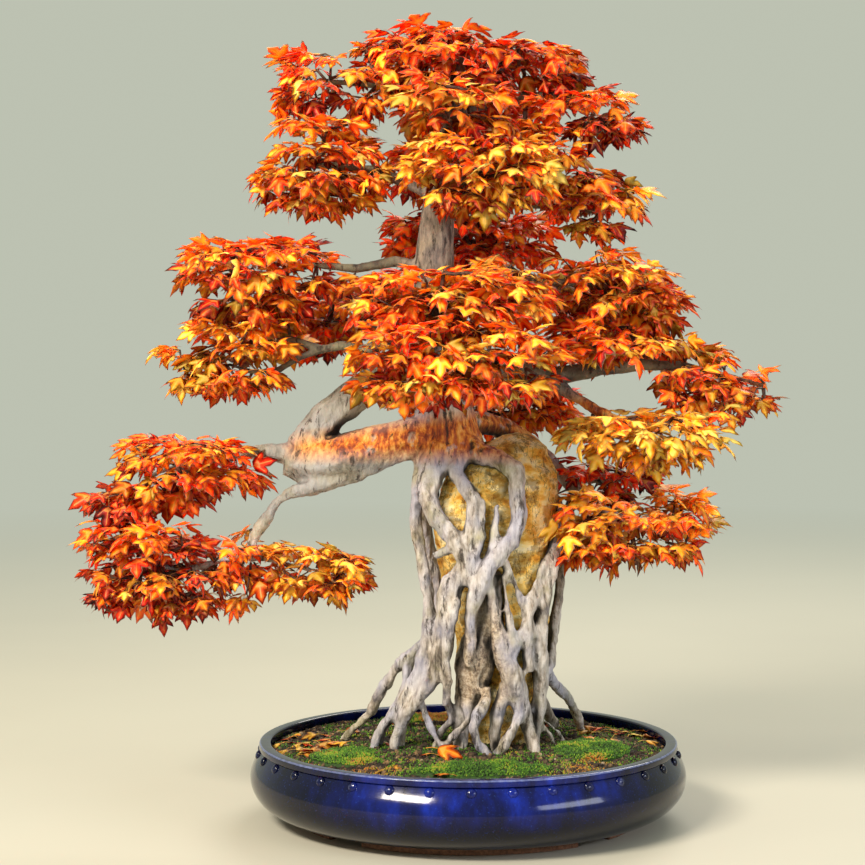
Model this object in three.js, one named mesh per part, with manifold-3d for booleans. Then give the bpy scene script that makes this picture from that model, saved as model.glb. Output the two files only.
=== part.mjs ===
// A root-over-rock trident maple bonsai in autumn leaf, planted in a shallow studded drum pot.
// Millimetres, +Z up, front towards -Y. The origin is on the pot's axis, on the surface it stands on.
// The pot, its drainage screens and everything planted in it are separate closed solids.
// Limbs are drawn as routes of [x, y, z, radius] from the pot's axis and the middle of the soil's top.
import * as THREE from "three";
import { mergeVertices } from "three/addons/utils/BufferGeometryUtils.js";
import Module from "manifold-3d";

const wasm = await Module();
wasm.setup();

// ---- Driving dimensions -------------------------------------------------------------------------
const CLEARANCE = 0.3; // between pieces that touch

const POT_DIAMETER = 440; // across the belly
const POT_HEIGHT = 80;
const BELLY_HEIGHT = 45; // where the pot is widest
const RIM_DIAMETER = 422; // across the outside of the lip
const LIP_WIDTH = 12;
const LIP_HEIGHT = 7;
const LIP_UNDERCUT = 2.5; // how far the neck is set in below the lip
const LIP_CHAMFER = 2;
const WALL = 9;
const FLOOR = 10;
const POT_SIDES = 40; // of the pot and of the soil that fills it

const FOOT_DIAMETER = 344;
const FOOT_WIDTH = 22;
const FOOT_HEIGHT = 7;
const FOOT_NOTCHES = 4; // gaps in the foot ring that let water out
const NOTCH_WIDTH = 46;
const CENTRE_PAD_RADIUS = 30; // holds up the middle of the wide floor

const STUD_COUNT = 34;
const STUD_RADIUS = 5;
const STUD_RISE = 2.6; // how far a stud stands out of the wall
const STUD_DROP = 12; // from the top of the rim down to the row of studs

const DRAIN_COUNT = 3;
const DRAIN_RADIUS = 15;
const DRAIN_PITCH_RADIUS = 95;
const SCREEN_SIZE = 46;
const SCREEN_THICKNESS = 1;
const SCREEN_BARS = 3; // bars each way
const SCREEN_BAR_WIDTH = 3;

const SOIL_BELOW_RIM = 2; // middle of the soil below the top of the rim
const SOIL_FALL = 9; // the soil's edge below its middle
const SOIL_CROWN = 0.6; // the nearly level middle of the soil, as a share of its radius
const SOIL_CROWN_FALL = 0.3 * SOIL_FALL;

const TREE_HEIGHT = 725; // from the middle of the soil to the highest leaves
const CROWN_SPREAD = 722; // from the outermost leaf on the left to that on the right
const WRITTEN_HEIGHT = 725; // the tree that the routes below are written for
const WRITTEN_SPREAD = 722;
const LIMB_STEP = 40; // length of one straight stretch of a limb
const TRUNK_SIDES = 10;
const ROOT_SIDES = 6;
const BRANCH_SIDES = 6;
const ROCK_SIDES = 12;
const ROCK_DEPTH_SHARE = 0.8; // of the stone's half-width at the same height
const ROCK_BACK = 6; // from the pot's axis to the stone's middle
const MOSS_GAP = 2; // between a moss cushion and the roots
const FALLEN_LEAF_THICKNESS = 0.8;
const FALLEN_LEAF_SIZE = 30;

// ---- Finishes -----------------------------------------------------------------------------------
const finish = (colour, roughness, metalness = 0) =>
  new THREE.MeshStandardMaterial({ color: colour, roughness, metalness });
const FINISHES = {
  cobaltGlaze: finish("#10207c", 0.12),
  plasticScreen: finish("#1d1f1e", 0.6),
  bakedClaySoil: finish("#33291f", 0.95),
  ochreRock: finish("#c98f3a", 0.85),
  mapleBark: finish("#b9b0a4", 0.8),
  greenMoss: finish("#4c6d1b", 0.95),
  autumnLeaf: finish("#e0621a", 0.6),
  driedLeaf: finish("#c4672c", 0.7),
};

// ---- Solids and meshes --------------------------------------------------------------------------
function solidOf(geometry) {
  const bare = geometry.clone();
  bare.deleteAttribute("normal");
  bare.deleteAttribute("uv");
  const merged = mergeVertices(bare, 1e-4);
  return new wasm.Manifold(
    new wasm.Mesh({
      numProp: 3,
      vertProperties: merged.attributes.position.array,
      triVerts: new Uint32Array(merged.index.array),
    }),
  );
}

function geometryOf(solid) {
  const { numProp, numVert, vertProperties, triVerts } = solid.getMesh();
  const corners = new Float32Array(numVert * 3);
  for (let i = 0; i < numVert; i++)
    corners.set(vertProperties.subarray(i * numProp, i * numProp + 3), i * 3);
  const geometry = new THREE.BufferGeometry();
  geometry.setAttribute("position", new THREE.BufferAttribute(corners, 3));
  geometry.setIndex(new THREE.BufferAttribute(triVerts, 1));
  return geometry;
}

const joined = (solids) => solids.reduce((whole, solid) => whole.add(solid));
const carved = (solid, cutters) => cutters.reduce((left, cutter) => left.subtract(cutter), solid);

function meshOf(name, solid, material) {
  const mesh = new THREE.Mesh(geometryOf(solid), material);
  mesh.name = name;
  return mesh;
}

// ---- Pot ----------------------------------------------------------------------------------------
const bellyRadius = POT_DIAMETER / 2;
const rimRadius = RIM_DIAMETER / 2;
const footRadius = FOOT_DIAMETER / 2;
const floorTop = FOOT_HEIGHT + FLOOR;
const neckRadius = rimRadius - LIP_UNDERCUT;

// The outside of the wall: an elliptical bowl up to the belly, then a soft shoulder up to the neck.
function wallRadius(z) {
  if (z < BELLY_HEIGHT) {
    const below = (BELLY_HEIGHT - z) / (BELLY_HEIGHT - FOOT_HEIGHT);
    return footRadius + (bellyRadius - footRadius) * Math.sqrt(Math.max(0, 1 - below * below));
  }
  const above = (z - BELLY_HEIGHT) / (POT_HEIGHT - LIP_HEIGHT - BELLY_HEIGHT);
  return neckRadius + (bellyRadius - neckRadius) * Math.cos((Math.min(above, 1) * Math.PI) / 2);
}

function levels(from, to, count) {
  return Array.from({ length: count + 1 }, (_, i) => from + ((to - from) * i) / count);
}

// Heights where the wall is drawn: closer together near the foot, where it turns fastest.
const bowlLevels = levels(0, 1, 4).map((s) => FOOT_HEIGHT + (BELLY_HEIGHT - FOOT_HEIGHT) * s * s);
const shoulderLevels = levels(BELLY_HEIGHT, POT_HEIGHT - LIP_HEIGHT, 3).slice(1);

// The inside of the wall, from the floor's edge up to the neck.
const cavityProfile = [
  [wallRadius(floorTop + WALL / 2) - 2 * WALL, floorTop],
  ...[...bowlLevels, ...shoulderLevels]
    .filter((z) => z > floorTop + WALL / 2)
    .map((z) => [wallRadius(z) - WALL, z]),
];
function cavityRadius(z) {
  const above = Math.max(1, cavityProfile.findIndex(([, level]) => level >= z));
  const [[innerRadius, low], [outerRadius, high]] = cavityProfile.slice(above - 1, above + 1);
  return THREE.MathUtils.mapLinear(z, low, high, innerRadius, outerRadius);
}

function lathe(profile, sides) {
  const points = profile.map(([radius, z]) => new THREE.Vector2(radius, z));
  return solidOf(new THREE.LatheGeometry(points, sides).rotateX(Math.PI / 2));
}

const outside = lathe(
  [
    [0, 0],
    [CENTRE_PAD_RADIUS, 0],
    [CENTRE_PAD_RADIUS, FOOT_HEIGHT],
    [footRadius - FOOT_WIDTH, FOOT_HEIGHT],
    [footRadius - FOOT_WIDTH, 0],
    [footRadius, 0],
    ...[...bowlLevels, ...shoulderLevels].map((z) => [wallRadius(z), z]),
    [rimRadius, POT_HEIGHT - LIP_HEIGHT],
    [rimRadius, POT_HEIGHT - LIP_CHAMFER],
    [rimRadius - LIP_CHAMFER, POT_HEIGHT],
    [0, POT_HEIGHT],
  ],
  POT_SIDES,
);
const cavity = lathe(
  [
    [0, floorTop],
    ...cavityProfile,
    [rimRadius - LIP_WIDTH, POT_HEIGHT],
    [rimRadius - LIP_WIDTH, 2 * POT_HEIGHT],
    [0, 2 * POT_HEIGHT],
  ],
  POT_SIDES,
);

function around(count, radius, z, make) {
  return levels(0, 2 * Math.PI, count)
    .slice(0, count)
    .map((angle) =>
      make(angle).rotateZ(angle).translate(radius * Math.cos(angle), radius * Math.sin(angle), z),
    );
}

const studHeight = POT_HEIGHT - STUD_DROP;
const studs = around(STUD_COUNT, wallRadius(studHeight), studHeight, () =>
  new THREE.SphereGeometry(1, 6, 2).rotateZ(-Math.PI / 2).scale(STUD_RISE, STUD_RADIUS, STUD_RADIUS),
);
const footNotches = around(FOOT_NOTCHES, footRadius - FOOT_WIDTH / 2, 0, () =>
  new THREE.BoxGeometry(FOOT_WIDTH * 2, NOTCH_WIDTH, 2 * FOOT_HEIGHT - CLEARANCE),
).map((notch) => notch.rotateZ(Math.PI / FOOT_NOTCHES));
const drains = around(DRAIN_COUNT, DRAIN_PITCH_RADIUS, floorTop - FLOOR / 2, () =>
  new THREE.CylinderGeometry(DRAIN_RADIUS, DRAIN_RADIUS, FLOOR * 2, 16).rotateX(Math.PI / 2),
);

const pot = carved(joined([outside, ...studs.map(solidOf)]), [
  cavity,
  ...[...footNotches, ...drains].map(solidOf),
]);

// A square of drainage netting lies over each hole in the floor.
function screenSolid(angle) {
  const pitch = (SCREEN_SIZE - SCREEN_BAR_WIDTH) / (SCREEN_BARS - 1);
  const starts = levels(0, SCREEN_BARS - 2, SCREEN_BARS - 2).map((i) => (i + 0.5) * pitch);
  const gap = pitch - SCREEN_BAR_WIDTH;
  const placed = (geometry, x, y) =>
    solidOf(
      geometry
        .translate(x, y, SCREEN_THICKNESS / 2)
        .rotateZ(angle)
        .translate(
          DRAIN_PITCH_RADIUS * Math.cos(angle),
          DRAIN_PITCH_RADIUS * Math.sin(angle),
          floorTop + CLEARANCE,
        ),
    );
  const half = (SCREEN_SIZE - SCREEN_BAR_WIDTH) / 2;
  const openings = starts.flatMap((x) =>
    starts.map((y) => placed(new THREE.BoxGeometry(gap, gap, SCREEN_THICKNESS * 3), x - half, y - half)),
  );
  return carved(placed(new THREE.BoxGeometry(SCREEN_SIZE, SCREEN_SIZE, SCREEN_THICKNESS), 0, 0), openings);
}
const screens = levels(0, 2 * Math.PI, DRAIN_COUNT).slice(0, DRAIN_COUNT).map(screenSolid);

// ---- Limbs: tapered tubes bent along smooth routes -----------------------------------------------
const soilTop = POT_HEIGHT - SOIL_BELOW_RIM;
const heightRatio = TREE_HEIGHT / WRITTEN_HEIGHT;
const spreadRatio = CROWN_SPREAD / WRITTEN_SPREAD;
const stoutness = Math.max(spreadRatio, heightRatio); // limbs thicken with the ratio that grew more
const grown = ([x, y, z, ...radii]) => [
  x * spreadRatio, y * spreadRatio, z * heightRatio, ...radii.map((radius) => radius * stoutness),
];

function limb(route, extra, sides) {
  const points = route.map(grown);
  const curve = new THREE.CatmullRomCurve3(
    points.map(([x, y, z]) => new THREE.Vector3(x, y, z)),
    false,
    "centripetal",
  );
  const steps = Math.max(points.length - 1, Math.round(curve.getLength() / LIMB_STEP));
  const frames = curve.computeFrenetFrames(steps);
  const tube = new THREE.CylinderGeometry(1, 1, 1, sides, steps);
  const corners = tube.attributes.position;
  for (let i = 0; i < corners.count; i++) {
    const row = Math.round((corners.getY(i) + 0.5) * steps);
    const along = curve.getUtoTmapping(row / steps, 0) * (points.length - 1);
    const before = Math.min(Math.floor(along), points.length - 2);
    const radius = THREE.MathUtils.lerp(points[before][3], points[before + 1][3], along - before) + extra;
    const place = curve
      .getPointAt(row / steps)
      .addScaledVector(frames.normals[row], corners.getX(i) * radius)
      .addScaledVector(frames.binormals[row], -corners.getZ(i) * radius);
    corners.setXYZ(i, place.x, place.y, place.z);
  }
  return solidOf(tube);
}

const limbs = (routes, extra = 0) => joined(routes.map((route) => limb(route, extra, BRANCH_SIDES)));

const TRUNK_ROUTE = [
  [-14, -2, 286, 34], [-23, 0, 328, 31], [-32, 3, 380, 26], [-35, 4, 445, 22], [-33, 2, 505, 19],
  [-27, 0, 562, 15], [-17, 0, 622, 10], [-9, 0, 672, 6], [-5, 0, 698, 3],
];

const ROOT_ROUTES = {
  outerLeft: [
    [-38, -12, 300, 13], [-53, -20, 250, 7], [-51, -23, 214, 7], [-44, -26, 178, 7.5],
    [-38, -32, 140, 8],
    [-40, -38, 100, 9], [-54, -38, 62, 8.5], [-74, -34, 38, 7], [-90, -30, 14, 5.5],
    [-100, -28, -14, 4.5],
  ],
  thickLeft: [
    [-26, -20, 300, 18], [-38, -30, 270, 14], [-42, -38, 246, 11], [-28, -46, 227, 10.5],
    [-13, -50, 208, 11],
    [-4, -52, 192, 11.5], [4, -54, 166, 9.5],
  ],
  inner: [
    [-8, -26, 292, 13], [-14, -36, 272, 9.5], [0, -44, 259, 8.5], [6, -47, 244, 8.5], [4, -49, 228, 8],
    [0, -50, 212, 8], [-4, -50, 194, 9],
  ],
  loop: [
    [-6, -14, 306, 17], [12, -30, 292, 11.5], [34, -38, 288, 10.5], [50, -42, 272, 10.5],
    [46, -44, 246, 10],
    [49, -46, 228, 10], [44, -50, 212, 9.5], [28, -54, 196, 9.5], [16, -57, 180, 9.5], [7, -58, 163, 9],
    [3, -58, 138, 7.5], [1, -57, 112, 6.5], [-1, -54, 84, 5.5],
  ],
  slimInnerLeft: [[14, -46, 250, 4.5], [13, -49, 226, 4.5], [10, -51, 204, 5], [4, -52, 186, 6.5]],
  slimInnerRight: [[28, -46, 246, 4.5], [26, -49, 222, 5], [24, -51, 204, 5], [18, -53, 184, 6]],
  spur: [[-4, -50, 204, 8], [-20, -47, 200, 6], [-35, -40, 193, 5]],
  leftSwell: [
    [0, -48, 186, 10], [-14, -48, 172, 13], [-21, -48, 146, 13], [-26, -48, 112, 11.5],
    [-28, -48, 90, 11],
    [-36, -47, 68, 9.5], [-50, -45, 52, 7.5], [-64, -41, 34, 6.5], [-72, -37, 16, 5.5],
    [-78, -34, -12, 4.5],
  ],
  leftRib: [
    [-12, -56, 152, 6.5], [-20, -58, 124, 6.5], [-24, -58, 96, 6], [-20, -56, 66, 5.5],
    [-24, -50, 44, 5],
  ],
  rightSwell: [
    [14, -52, 184, 8], [25, -53, 146, 6.5], [29, -53, 108, 8], [42, -51, 80, 13], [52, -48, 44, 10.5],
    [58, -43, 24, 7], [64, -39, 2, 5.5], [68, -37, -16, 4.5],
  ],
  rightEdge: [
    [34, 30, 292, 12], [76, 34, 258, 9], [93, 8, 226, 8], [88, -16, 196, 8.5], [80, -26, 166, 8.5],
    [72, -30, 130, 8.5], [69, -32, 98, 9], [73, -28, 68, 9.5], [70, -28, 34, 8], [64, -26, -12, 6],
  ],
  rightStrand: [
    [90, -8, 210, 5.5], [72, -32, 178, 5], [60, -40, 146, 5], [57, -44, 110, 6], [60, -42, 76, 8],
  ],
  rightBack: [[93, 6, 226, 7], [94, 14, 180, 5.5], [90, 10, 130, 6], [84, -4, 96, 6.5], [78, -18, 70, 8]],
  slimCrossing: [[82, -22, 186, 4], [64, -40, 140, 4], [48, -50, 110, 4.5], [40, -52, 90, 6]],
  slimRight: [[34, -50, 192, 4.5], [44, -46, 168, 4.5], [54, -42, 144, 4.5], [64, -38, 112, 6.5]],
  slimMiddle: [[34, -50, 176, 4], [38, -52, 140, 4], [46, -52, 104, 5]],
  frontHook: [
    [16, -48, 62, 8], [18, -55, 54, 6.5], [12, -60, 42, 6], [3, -63, 28, 6], [8, -64, 10, 6],
    [18, -62, -2, 6],
    [24, -58, -16, 5],
  ],
  frontArm: [
    [56, -46, 48, 8], [50, -54, 34, 7], [42, -60, 18, 6.5], [32, -62, 4, 6], [24, -60, -12, 5],
  ],
  frontInner: [[38, -46, 66, 9], [30, -50, 42, 7.5], [25, -50, 22, 6.5], [30, -46, -12, 5]],
  rightFoot: [[58, -38, 40, 7], [62, -44, 20, 5.5], [68, -48, -2, 5], [70, -50, -14, 4]],
  outsideLeftLong: [
    [-36, -26, 112, 9], [-54, -14, 92, 7], [-78, -4, 70, 6.5], [-86, 4, 54, 6.5], [-98, 10, 28, 6],
    [-116, 18, 10, 5], [-134, 25, -12, 3.8],
  ],
  outsideLeftFork: [
    [-60, -16, 88, 5.5], [-62, -24, 62, 5], [-70, -26, 44, 4.5], [-84, -20, 20, 4.5],
    [-92, -18, -12, 4],
  ],
  leftKnob: [[-38, -34, 104, 8], [-48, -38, 92, 7], [-50, -40, 74, 6], [-54, -38, 58, 6]],
  leftKnuckle: [[-52, -34, 60, 8.5], [-66, -28, 42, 8], [-68, -24, 16, 6.5], [-70, -20, -14, 5.5]],
  burl: [
    [22, -36, 176, 12], [20, -34, 140, 16], [12, -33, 108, 19], [5, -33, 80, 22], [4, -32, 56, 20],
    [-5, -34, 30, 10],
    [-8, -36, -14, 6],
  ],
  leftThin: [
    [-50, -38, 54, 4.5], [-44, -42, 36, 3.6], [-36, -46, 18, 3.2], [-26, -50, 2, 3],
    [-20, -52, -14, 2.6],
  ],
  leftShort: [[-22, -42, 52, 7], [-16, -44, 34, 4.5], [-28, -34, 16, 4.2], [-36, -28, -12, 4]],
  middleShort: [
    [0, -42, 44, 9], [0, -52, 30, 4.5], [-12, -50, 18, 4], [-24, -44, 4, 3.6], [-30, -40, -14, 3.2],
  ],
  outsideRightLong: [
    [70, -18, 78, 9], [81, 6, 66, 6.5], [96, 30, 46, 6], [110, 52, 24, 5.5], [118, 72, 0, 4.8],
    [122, 84, -14, 4],
  ],
  rightThin: [[62, -28, 42, 5], [76, -14, 24, 3.4], [90, 0, 10, 3], [102, 12, -12, 2.6]],
  rightThinner: [[66, -30, 30, 4.5], [80, -22, 14, 2.8], [92, -12, -10, 2.4]],
  backLeft: [
    [-30, 16, 296, 18], [-46, 30, 244, 13], [-44, 42, 188, 13], [-30, 50, 128, 14], [-36, 54, 70, 14],
    [-58, 74, 24, 9], [-76, 92, -14, 5],
  ],
  backMiddle: [
    [0, 18, 300, 16], [22, 46, 256, 13], [30, 56, 196, 12], [16, 60, 134, 14], [18, 60, 74, 15],
    [10, 80, 24, 9], [4, 104, -14, 5],
  ],
  backRight: [
    [20, 59, 122, 12], [62, 44, 74, 12], [74, 54, 34, 9], [88, 84, 8, 6.5], [98, 104, -14, 4.5],
  ],
};

const BRANCH_ROUTES = {
  branch_left_lower: [
    [
      [-20, -4, 310, 23], [-52, -8, 308, 23], [-90, -6, 300, 25], [-128, -4, 284, 31],
      [-158, 0, 279, 28], [-184, 2, 284, 16],
    ],
    [[-34, 4, 402, 15], [-74, 6, 380, 16], [-108, 4, 355, 17], [-148, 2, 322, 19], [-168, 2, 296, 18]],
    [
      [-170, 2, 290, 15], [-196, 2, 294, 8], [-216, 2, 295, 5.5], [-246, 2, 288, 4.5],
      [-290, 4, 281, 3.5], [-322, 6, 268, 2.5],
    ],
    [
      [-108, -10, 282, 15], [-136, -14, 268, 12], [-156, -16, 260, 9], [-172, -16, 256, 7.5],
      [-190, -16, 246, 7], [-203, -14, 228, 6.5], [-215, -12, 208, 5.5], [-220, -10, 184, 5],
    ],
    [[-219, -10, 192, 4.5], [-252, -6, 182, 4], [-290, -2, 174, 3.5], [-326, 0, 184, 2.5]],
    [[-219, -10, 190, 4.5], [-194, -8, 184, 3.5], [-152, -6, 174, 3]],
  ],
  branch_left_middle: [
    [
      [-34, 0, 430, 10], [-64, -6, 410, 8], [-88, -8, 404, 6.5], [-104, -6, 395, 7], [-122, -10, 402, 6],
      [-140, -7, 394, 5.5], [-158, -6, 398, 5], [-182, -4, 378, 4], [-215, -2, 374, 3.2],
      [-242, 0, 382, 2.5],
    ],
    [[-144, -7, 396, 5], [-184, -4, 408, 4], [-216, 0, 400, 3]],
  ],
  branch_left_upper: [
    [
      [-33, 2, 474, 8], [-68, 2, 485, 6.5], [-102, 6, 476, 5.5], [-138, 3, 483, 4.5], [-180, 2, 474, 3.6],
      [-234, 0, 470, 2.5],
    ],
  ],
  branch_second_left: [[[-29, 2, 546, 8], [-70, 0, 567, 6.5], [-115, 0, 578, 5], [-164, 0, 580, 3.5]]],
  branch_crown_left: [[[-18, 0, 614, 6], [-55, 0, 644, 5], [-96, 0, 660, 4], [-138, 0, 663, 3]]],
  branch_crown_right: [[[-15, 0, 628, 6], [35, 0, 645, 5], [85, 0, 650, 4], [128, 0, 641, 3]]],
  branch_second_right: [[[-28, 0, 534, 8], [25, 2, 541, 7], [75, 2, 542, 5.5], [130, 0, 534, 3.5]]],
  branch_second_front: [[[-27, -2, 556, 8], [-16, -35, 561, 6.5], [0, -76, 564, 4]]],
  branch_crown_front: [[[-20, -2, 604, 6], [-20, -40, 618, 5], [-20, -78, 622, 3.5]]],
  branch_right_middle: [
    [[-34, 2, 466, 10], [20, 8, 467, 8.5], [75, 6, 463, 7], [130, 2, 460, 5], [182, 0, 458, 3.5]],
  ],
  branch_front: [
    [[-34, -2, 426, 13], [-30, -52, 416, 9], [-22, -92, 402, 7], [4, -112, 390, 5], [54, -114, 385, 3.5]],
    [[-30, -46, 417, 7], [-34, -74, 436, 5], [-28, -96, 450, 3.5]],
  ],
  branch_right_wide: [
    [
      [-32, 6, 372, 14], [30, 10, 374, 12], [90, 4, 370, 10.5], [150, -2, 380, 8], [210, -2, 380, 6],
      [264, -2, 368, 4], [296, -2, 360, 3],
    ],
    [[76, 5, 370, 9], [108, -20, 348, 6.5], [150, -44, 326, 5], [190, -50, 317, 3.5]],
  ],
  branch_right_lower: [
    [
      [-10, 10, 322, 15], [35, 46, 316, 12], [75, 58, 288, 10], [104, 46, 258, 8], [130, 24, 236, 7],
      [165, 2, 219, 5], [204, -2, 213, 3.5],
    ],
    [[100, 48, 262, 6], [130, 60, 260, 4.5], [170, 64, 258, 3]],
  ],
  branch_back_low: [[[-28, 6, 350, 13], [-20, 60, 352, 9.5], [0, 110, 346, 7], [30, 150, 342, 4]]],
  branch_back_left: [[[-34, 6, 412, 9], [-70, 55, 417, 7], [-110, 100, 422, 5], [-142, 130, 424, 3.5]]],
  branch_back_right: [[[-33, 6, 444, 9], [20, 55, 442, 7.5], [85, 100, 442, 5.5], [140, 128, 442, 3.5]]],
  branch_back_upper: [[[-30, 4, 512, 8], [-20, 60, 514, 6.5], [-5, 110, 514, 5], [0, 146, 512, 3.5]]],
  branch_second_back: [[[-24, 2, 578, 7], [-15, 50, 580, 5], [-5, 96, 582, 3.5]]],
  branch_crown_back: [[[-13, 2, 640, 5], [-8, 40, 642, 4], [0, 76, 644, 3]]],
};

const trunkParts = (extra) =>
  joined([
    limb(TRUNK_ROUTE, extra, TRUNK_SIDES),
    ...Object.values(ROOT_ROUTES).map((route) => limb(route, extra, ROOT_SIDES)),
  ]);
const trunk = trunkParts(0);
const trunkRoom = trunkParts(CLEARANCE);

const branches = {};
const woodRoom = [trunkRoom];
for (const [name, routes] of Object.entries(BRANCH_ROUTES)) {
  branches[name] = carved(limbs(routes), woodRoom);
  woodRoom.push(limbs(routes, CLEARANCE));
}

// ---- Rock: an upright stone whose faces bulge and hollow ------------------------------------------
const ROCK_HEIGHTS = [-34, -10, 20, 60, 105, 150, 195, 235, 270, 298, 312];
const ROCK_HALF_WIDTHS = [28, 36, 42, 46, 50, 53, 59, 63, 58, 38, 12];
const ROCK_CENTRES = [26, 28, 30, 34, 37, 34, 27, 23, 29, 42, 48]; // x of the middle at each height

function rockSolid(extra) {
  const rows = ROCK_HEIGHTS.length - 1;
  const stone = new THREE.CylinderGeometry(1, 1, 1, ROCK_SIDES, rows);
  const corners = stone.attributes.position;
  for (let i = 0; i < corners.count; i++) {
    const row = Math.round((corners.getY(i) + 0.5) * rows);
    const angle = Math.atan2(corners.getZ(i), corners.getX(i));
    const facets = 1 + 0.07 * Math.sin(3 * angle + row) + 0.05 * Math.cos(5 * angle - 1.7 * row);
    const offAxis = Math.hypot(corners.getX(i), corners.getZ(i)) < 0.5 ? 0 : 1;
    const reach = ROCK_HALF_WIDTHS[row] * facets;
    const end = row === rows ? extra : row === 0 ? -extra : 0;
    const place = grown([
      ROCK_CENTRES[row] + offAxis * (reach + extra) * Math.cos(angle),
      ROCK_BACK - offAxis * (reach * ROCK_DEPTH_SHARE + extra) * Math.sin(angle),
      ROCK_HEIGHTS[row] + end,
    ]);
    corners.setXYZ(i, ...place);
  }
  return solidOf(stone);
}
const rock = carved(rockSolid(0), woodRoom);

// ---- Soil: a low mound that fills the pot ----------------------------------------------------------
const soilBottom = floorTop + SCREEN_THICKNESS + 2 * CLEARANCE - soilTop;
const soilEdgeRadius = cavityRadius(soilTop - SOIL_FALL) - CLEARANCE;

function soilSolid(extra) {
  const side = cavityProfile.map(([, z]) => z - soilTop).filter((z) => z > soilBottom && z < -SOIL_FALL);
  return lathe(
    [
      [0, soilBottom],
      ...[soilBottom, ...side].map((z) => [cavityRadius(z + soilTop) - CLEARANCE, z]),
      [soilEdgeRadius, -SOIL_FALL + extra],
      [soilEdgeRadius * SOIL_CROWN, -SOIL_CROWN_FALL + extra],
      [0, extra],
    ],
    POT_SIDES,
  );
}
const soil = carved(soilSolid(0), [rockSolid(CLEARANCE), ...woodRoom]);

// Height of the soil's top at a distance from the pot's axis.
function soilSurface(distance) {
  const crown = soilEdgeRadius * SOIL_CROWN;
  return distance < crown
    ? (-SOIL_CROWN_FALL * distance) / crown
    : THREE.MathUtils.mapLinear(distance, crown, soilEdgeRadius, -SOIL_CROWN_FALL, -SOIL_FALL);
}

// ---- Leaves and moss: rounded masses ---------------------------------------------------------------
// A mass is a list of lumps: [x, y, z, half-length, half-depth, half-height, droop to the right in
// degrees].
function mass(lumps, extra = 0) {
  return joined(
    lumps.map((lump) => {
      const [x, y, z, length, depth, height, droop = 0] = lump;
      const [px, py, pz] = grown([x, y, z]);
      return solidOf(
        new THREE.SphereGeometry(1, 8, 6)
          .rotateX(Math.PI / 2)
          .scale(length * spreadRatio + extra, depth * spreadRatio + extra, height * heightRatio + extra)
          .rotateY(THREE.MathUtils.degToRad(droop))
          .translate(px, py, pz),
      );
    }),
  );
}

const LEAF_MASSES = {
  leaves_left_outer: [[-280, 0, 288, 76, 54, 28, 4], [-316, 8, 258, 70, 46, 19, -6]],
  leaves_left_low: [
    [-324, 0, 207, 74, 50, 22, 2], [-310, -4, 164, 82, 54, 30, 2], [-226, -6, 188, 38, 32, 24],
  ],
  leaves_left_low_inner: [
    [-204, -6, 200, 28, 26, 18], [-184, -6, 188, 30, 28, 19], [-146, -6, 177, 54, 46, 29, 4],
  ],
  leaves_left_middle: [
    [-222, 0, 410, 62, 46, 25, -6], [-238, 0, 374, 64, 50, 30, -4], [-294, 0, 400, 25, 20, 20, -30],
  ],
  leaves_left_upper: [
    [-218, 0, 485, 82, 54, 25, -3], [-218, 0, 452, 58, 44, 21], [-146, 0, 466, 36, 30, 23],
  ],
  leaves_second_left: [[-148, 0, 618, 46, 42, 19], [-142, 0, 574, 76, 54, 36, -2]],
  leaves_second_front: [[8, -64, 579, 82, 48, 42, 3]],
  leaves_second_right: [
    [76, 0, 602, 44, 44, 27, 20], [118, 0, 554, 68, 50, 27, 10], [120, -6, 530, 36, 36, 20],
  ],
  leaves_crown_left: [[-152, 0, 668, 42, 42, 30], [-104, 0, 664, 38, 42, 26]],
  leaves_apex: [[-30, 0, 689, 86, 58, 35], [74, 0, 683, 52, 48, 24, 16]],
  leaves_crown_right: [[112, 0, 636, 70, 46, 26, 22]],
  leaves_crown_front: [[-8, -72, 641, 68, 42, 27, 8]],
  leaves_right_middle: [[148, 0, 462, 78, 58, 36, 12], [32, -20, 470, 72, 50, 25]],
  leaves_front_upper: [[-20, -96, 450, 108, 50, 31]],
  leaves_front: [[-18, -112, 404, 112, 54, 28], [-14, -116, 378, 102, 52, 27, 2]],
  leaves_right_wide: [[158, 0, 403, 86, 58, 25, 6], [226, -8, 372, 60, 48, 30, 8]],
  leaves_right_tip: [[270, -2, 362, 46, 38, 26, 14]],
  leaves_right_yellow: [[170, -50, 319, 88, 48, 27, 2]],
  leaves_right_low: [[142, -2, 218, 76, 52, 36, 3], [206, -2, 226, 48, 44, 35, 6]],
  leaves_right_low_back: [[138, 62, 264, 58, 42, 20, 2]],
  leaves_back_low: [[24, 150, 344, 108, 64, 36]],
  leaves_back_left: [[-140, 130, 426, 84, 58, 34, -5]],
  leaves_back_right: [[142, 128, 444, 84, 60, 34, 5]],
  leaves_back_upper: [[0, 144, 514, 96, 58, 36]],
  leaves_second_back: [[-2, 96, 584, 88, 54, 36]],
  leaves_crown_back: [[0, 78, 646, 84, 44, 30]],
};

const leafMasses = {};
const takenByLeaves = [rockSolid(CLEARANCE)];
for (const [name, lumps] of Object.entries(LEAF_MASSES)) {
  leafMasses[name] = carved(mass(lumps), [...woodRoom, ...takenByLeaves]);
  takenByLeaves.push(mass(lumps, CLEARANCE));
}

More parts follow.
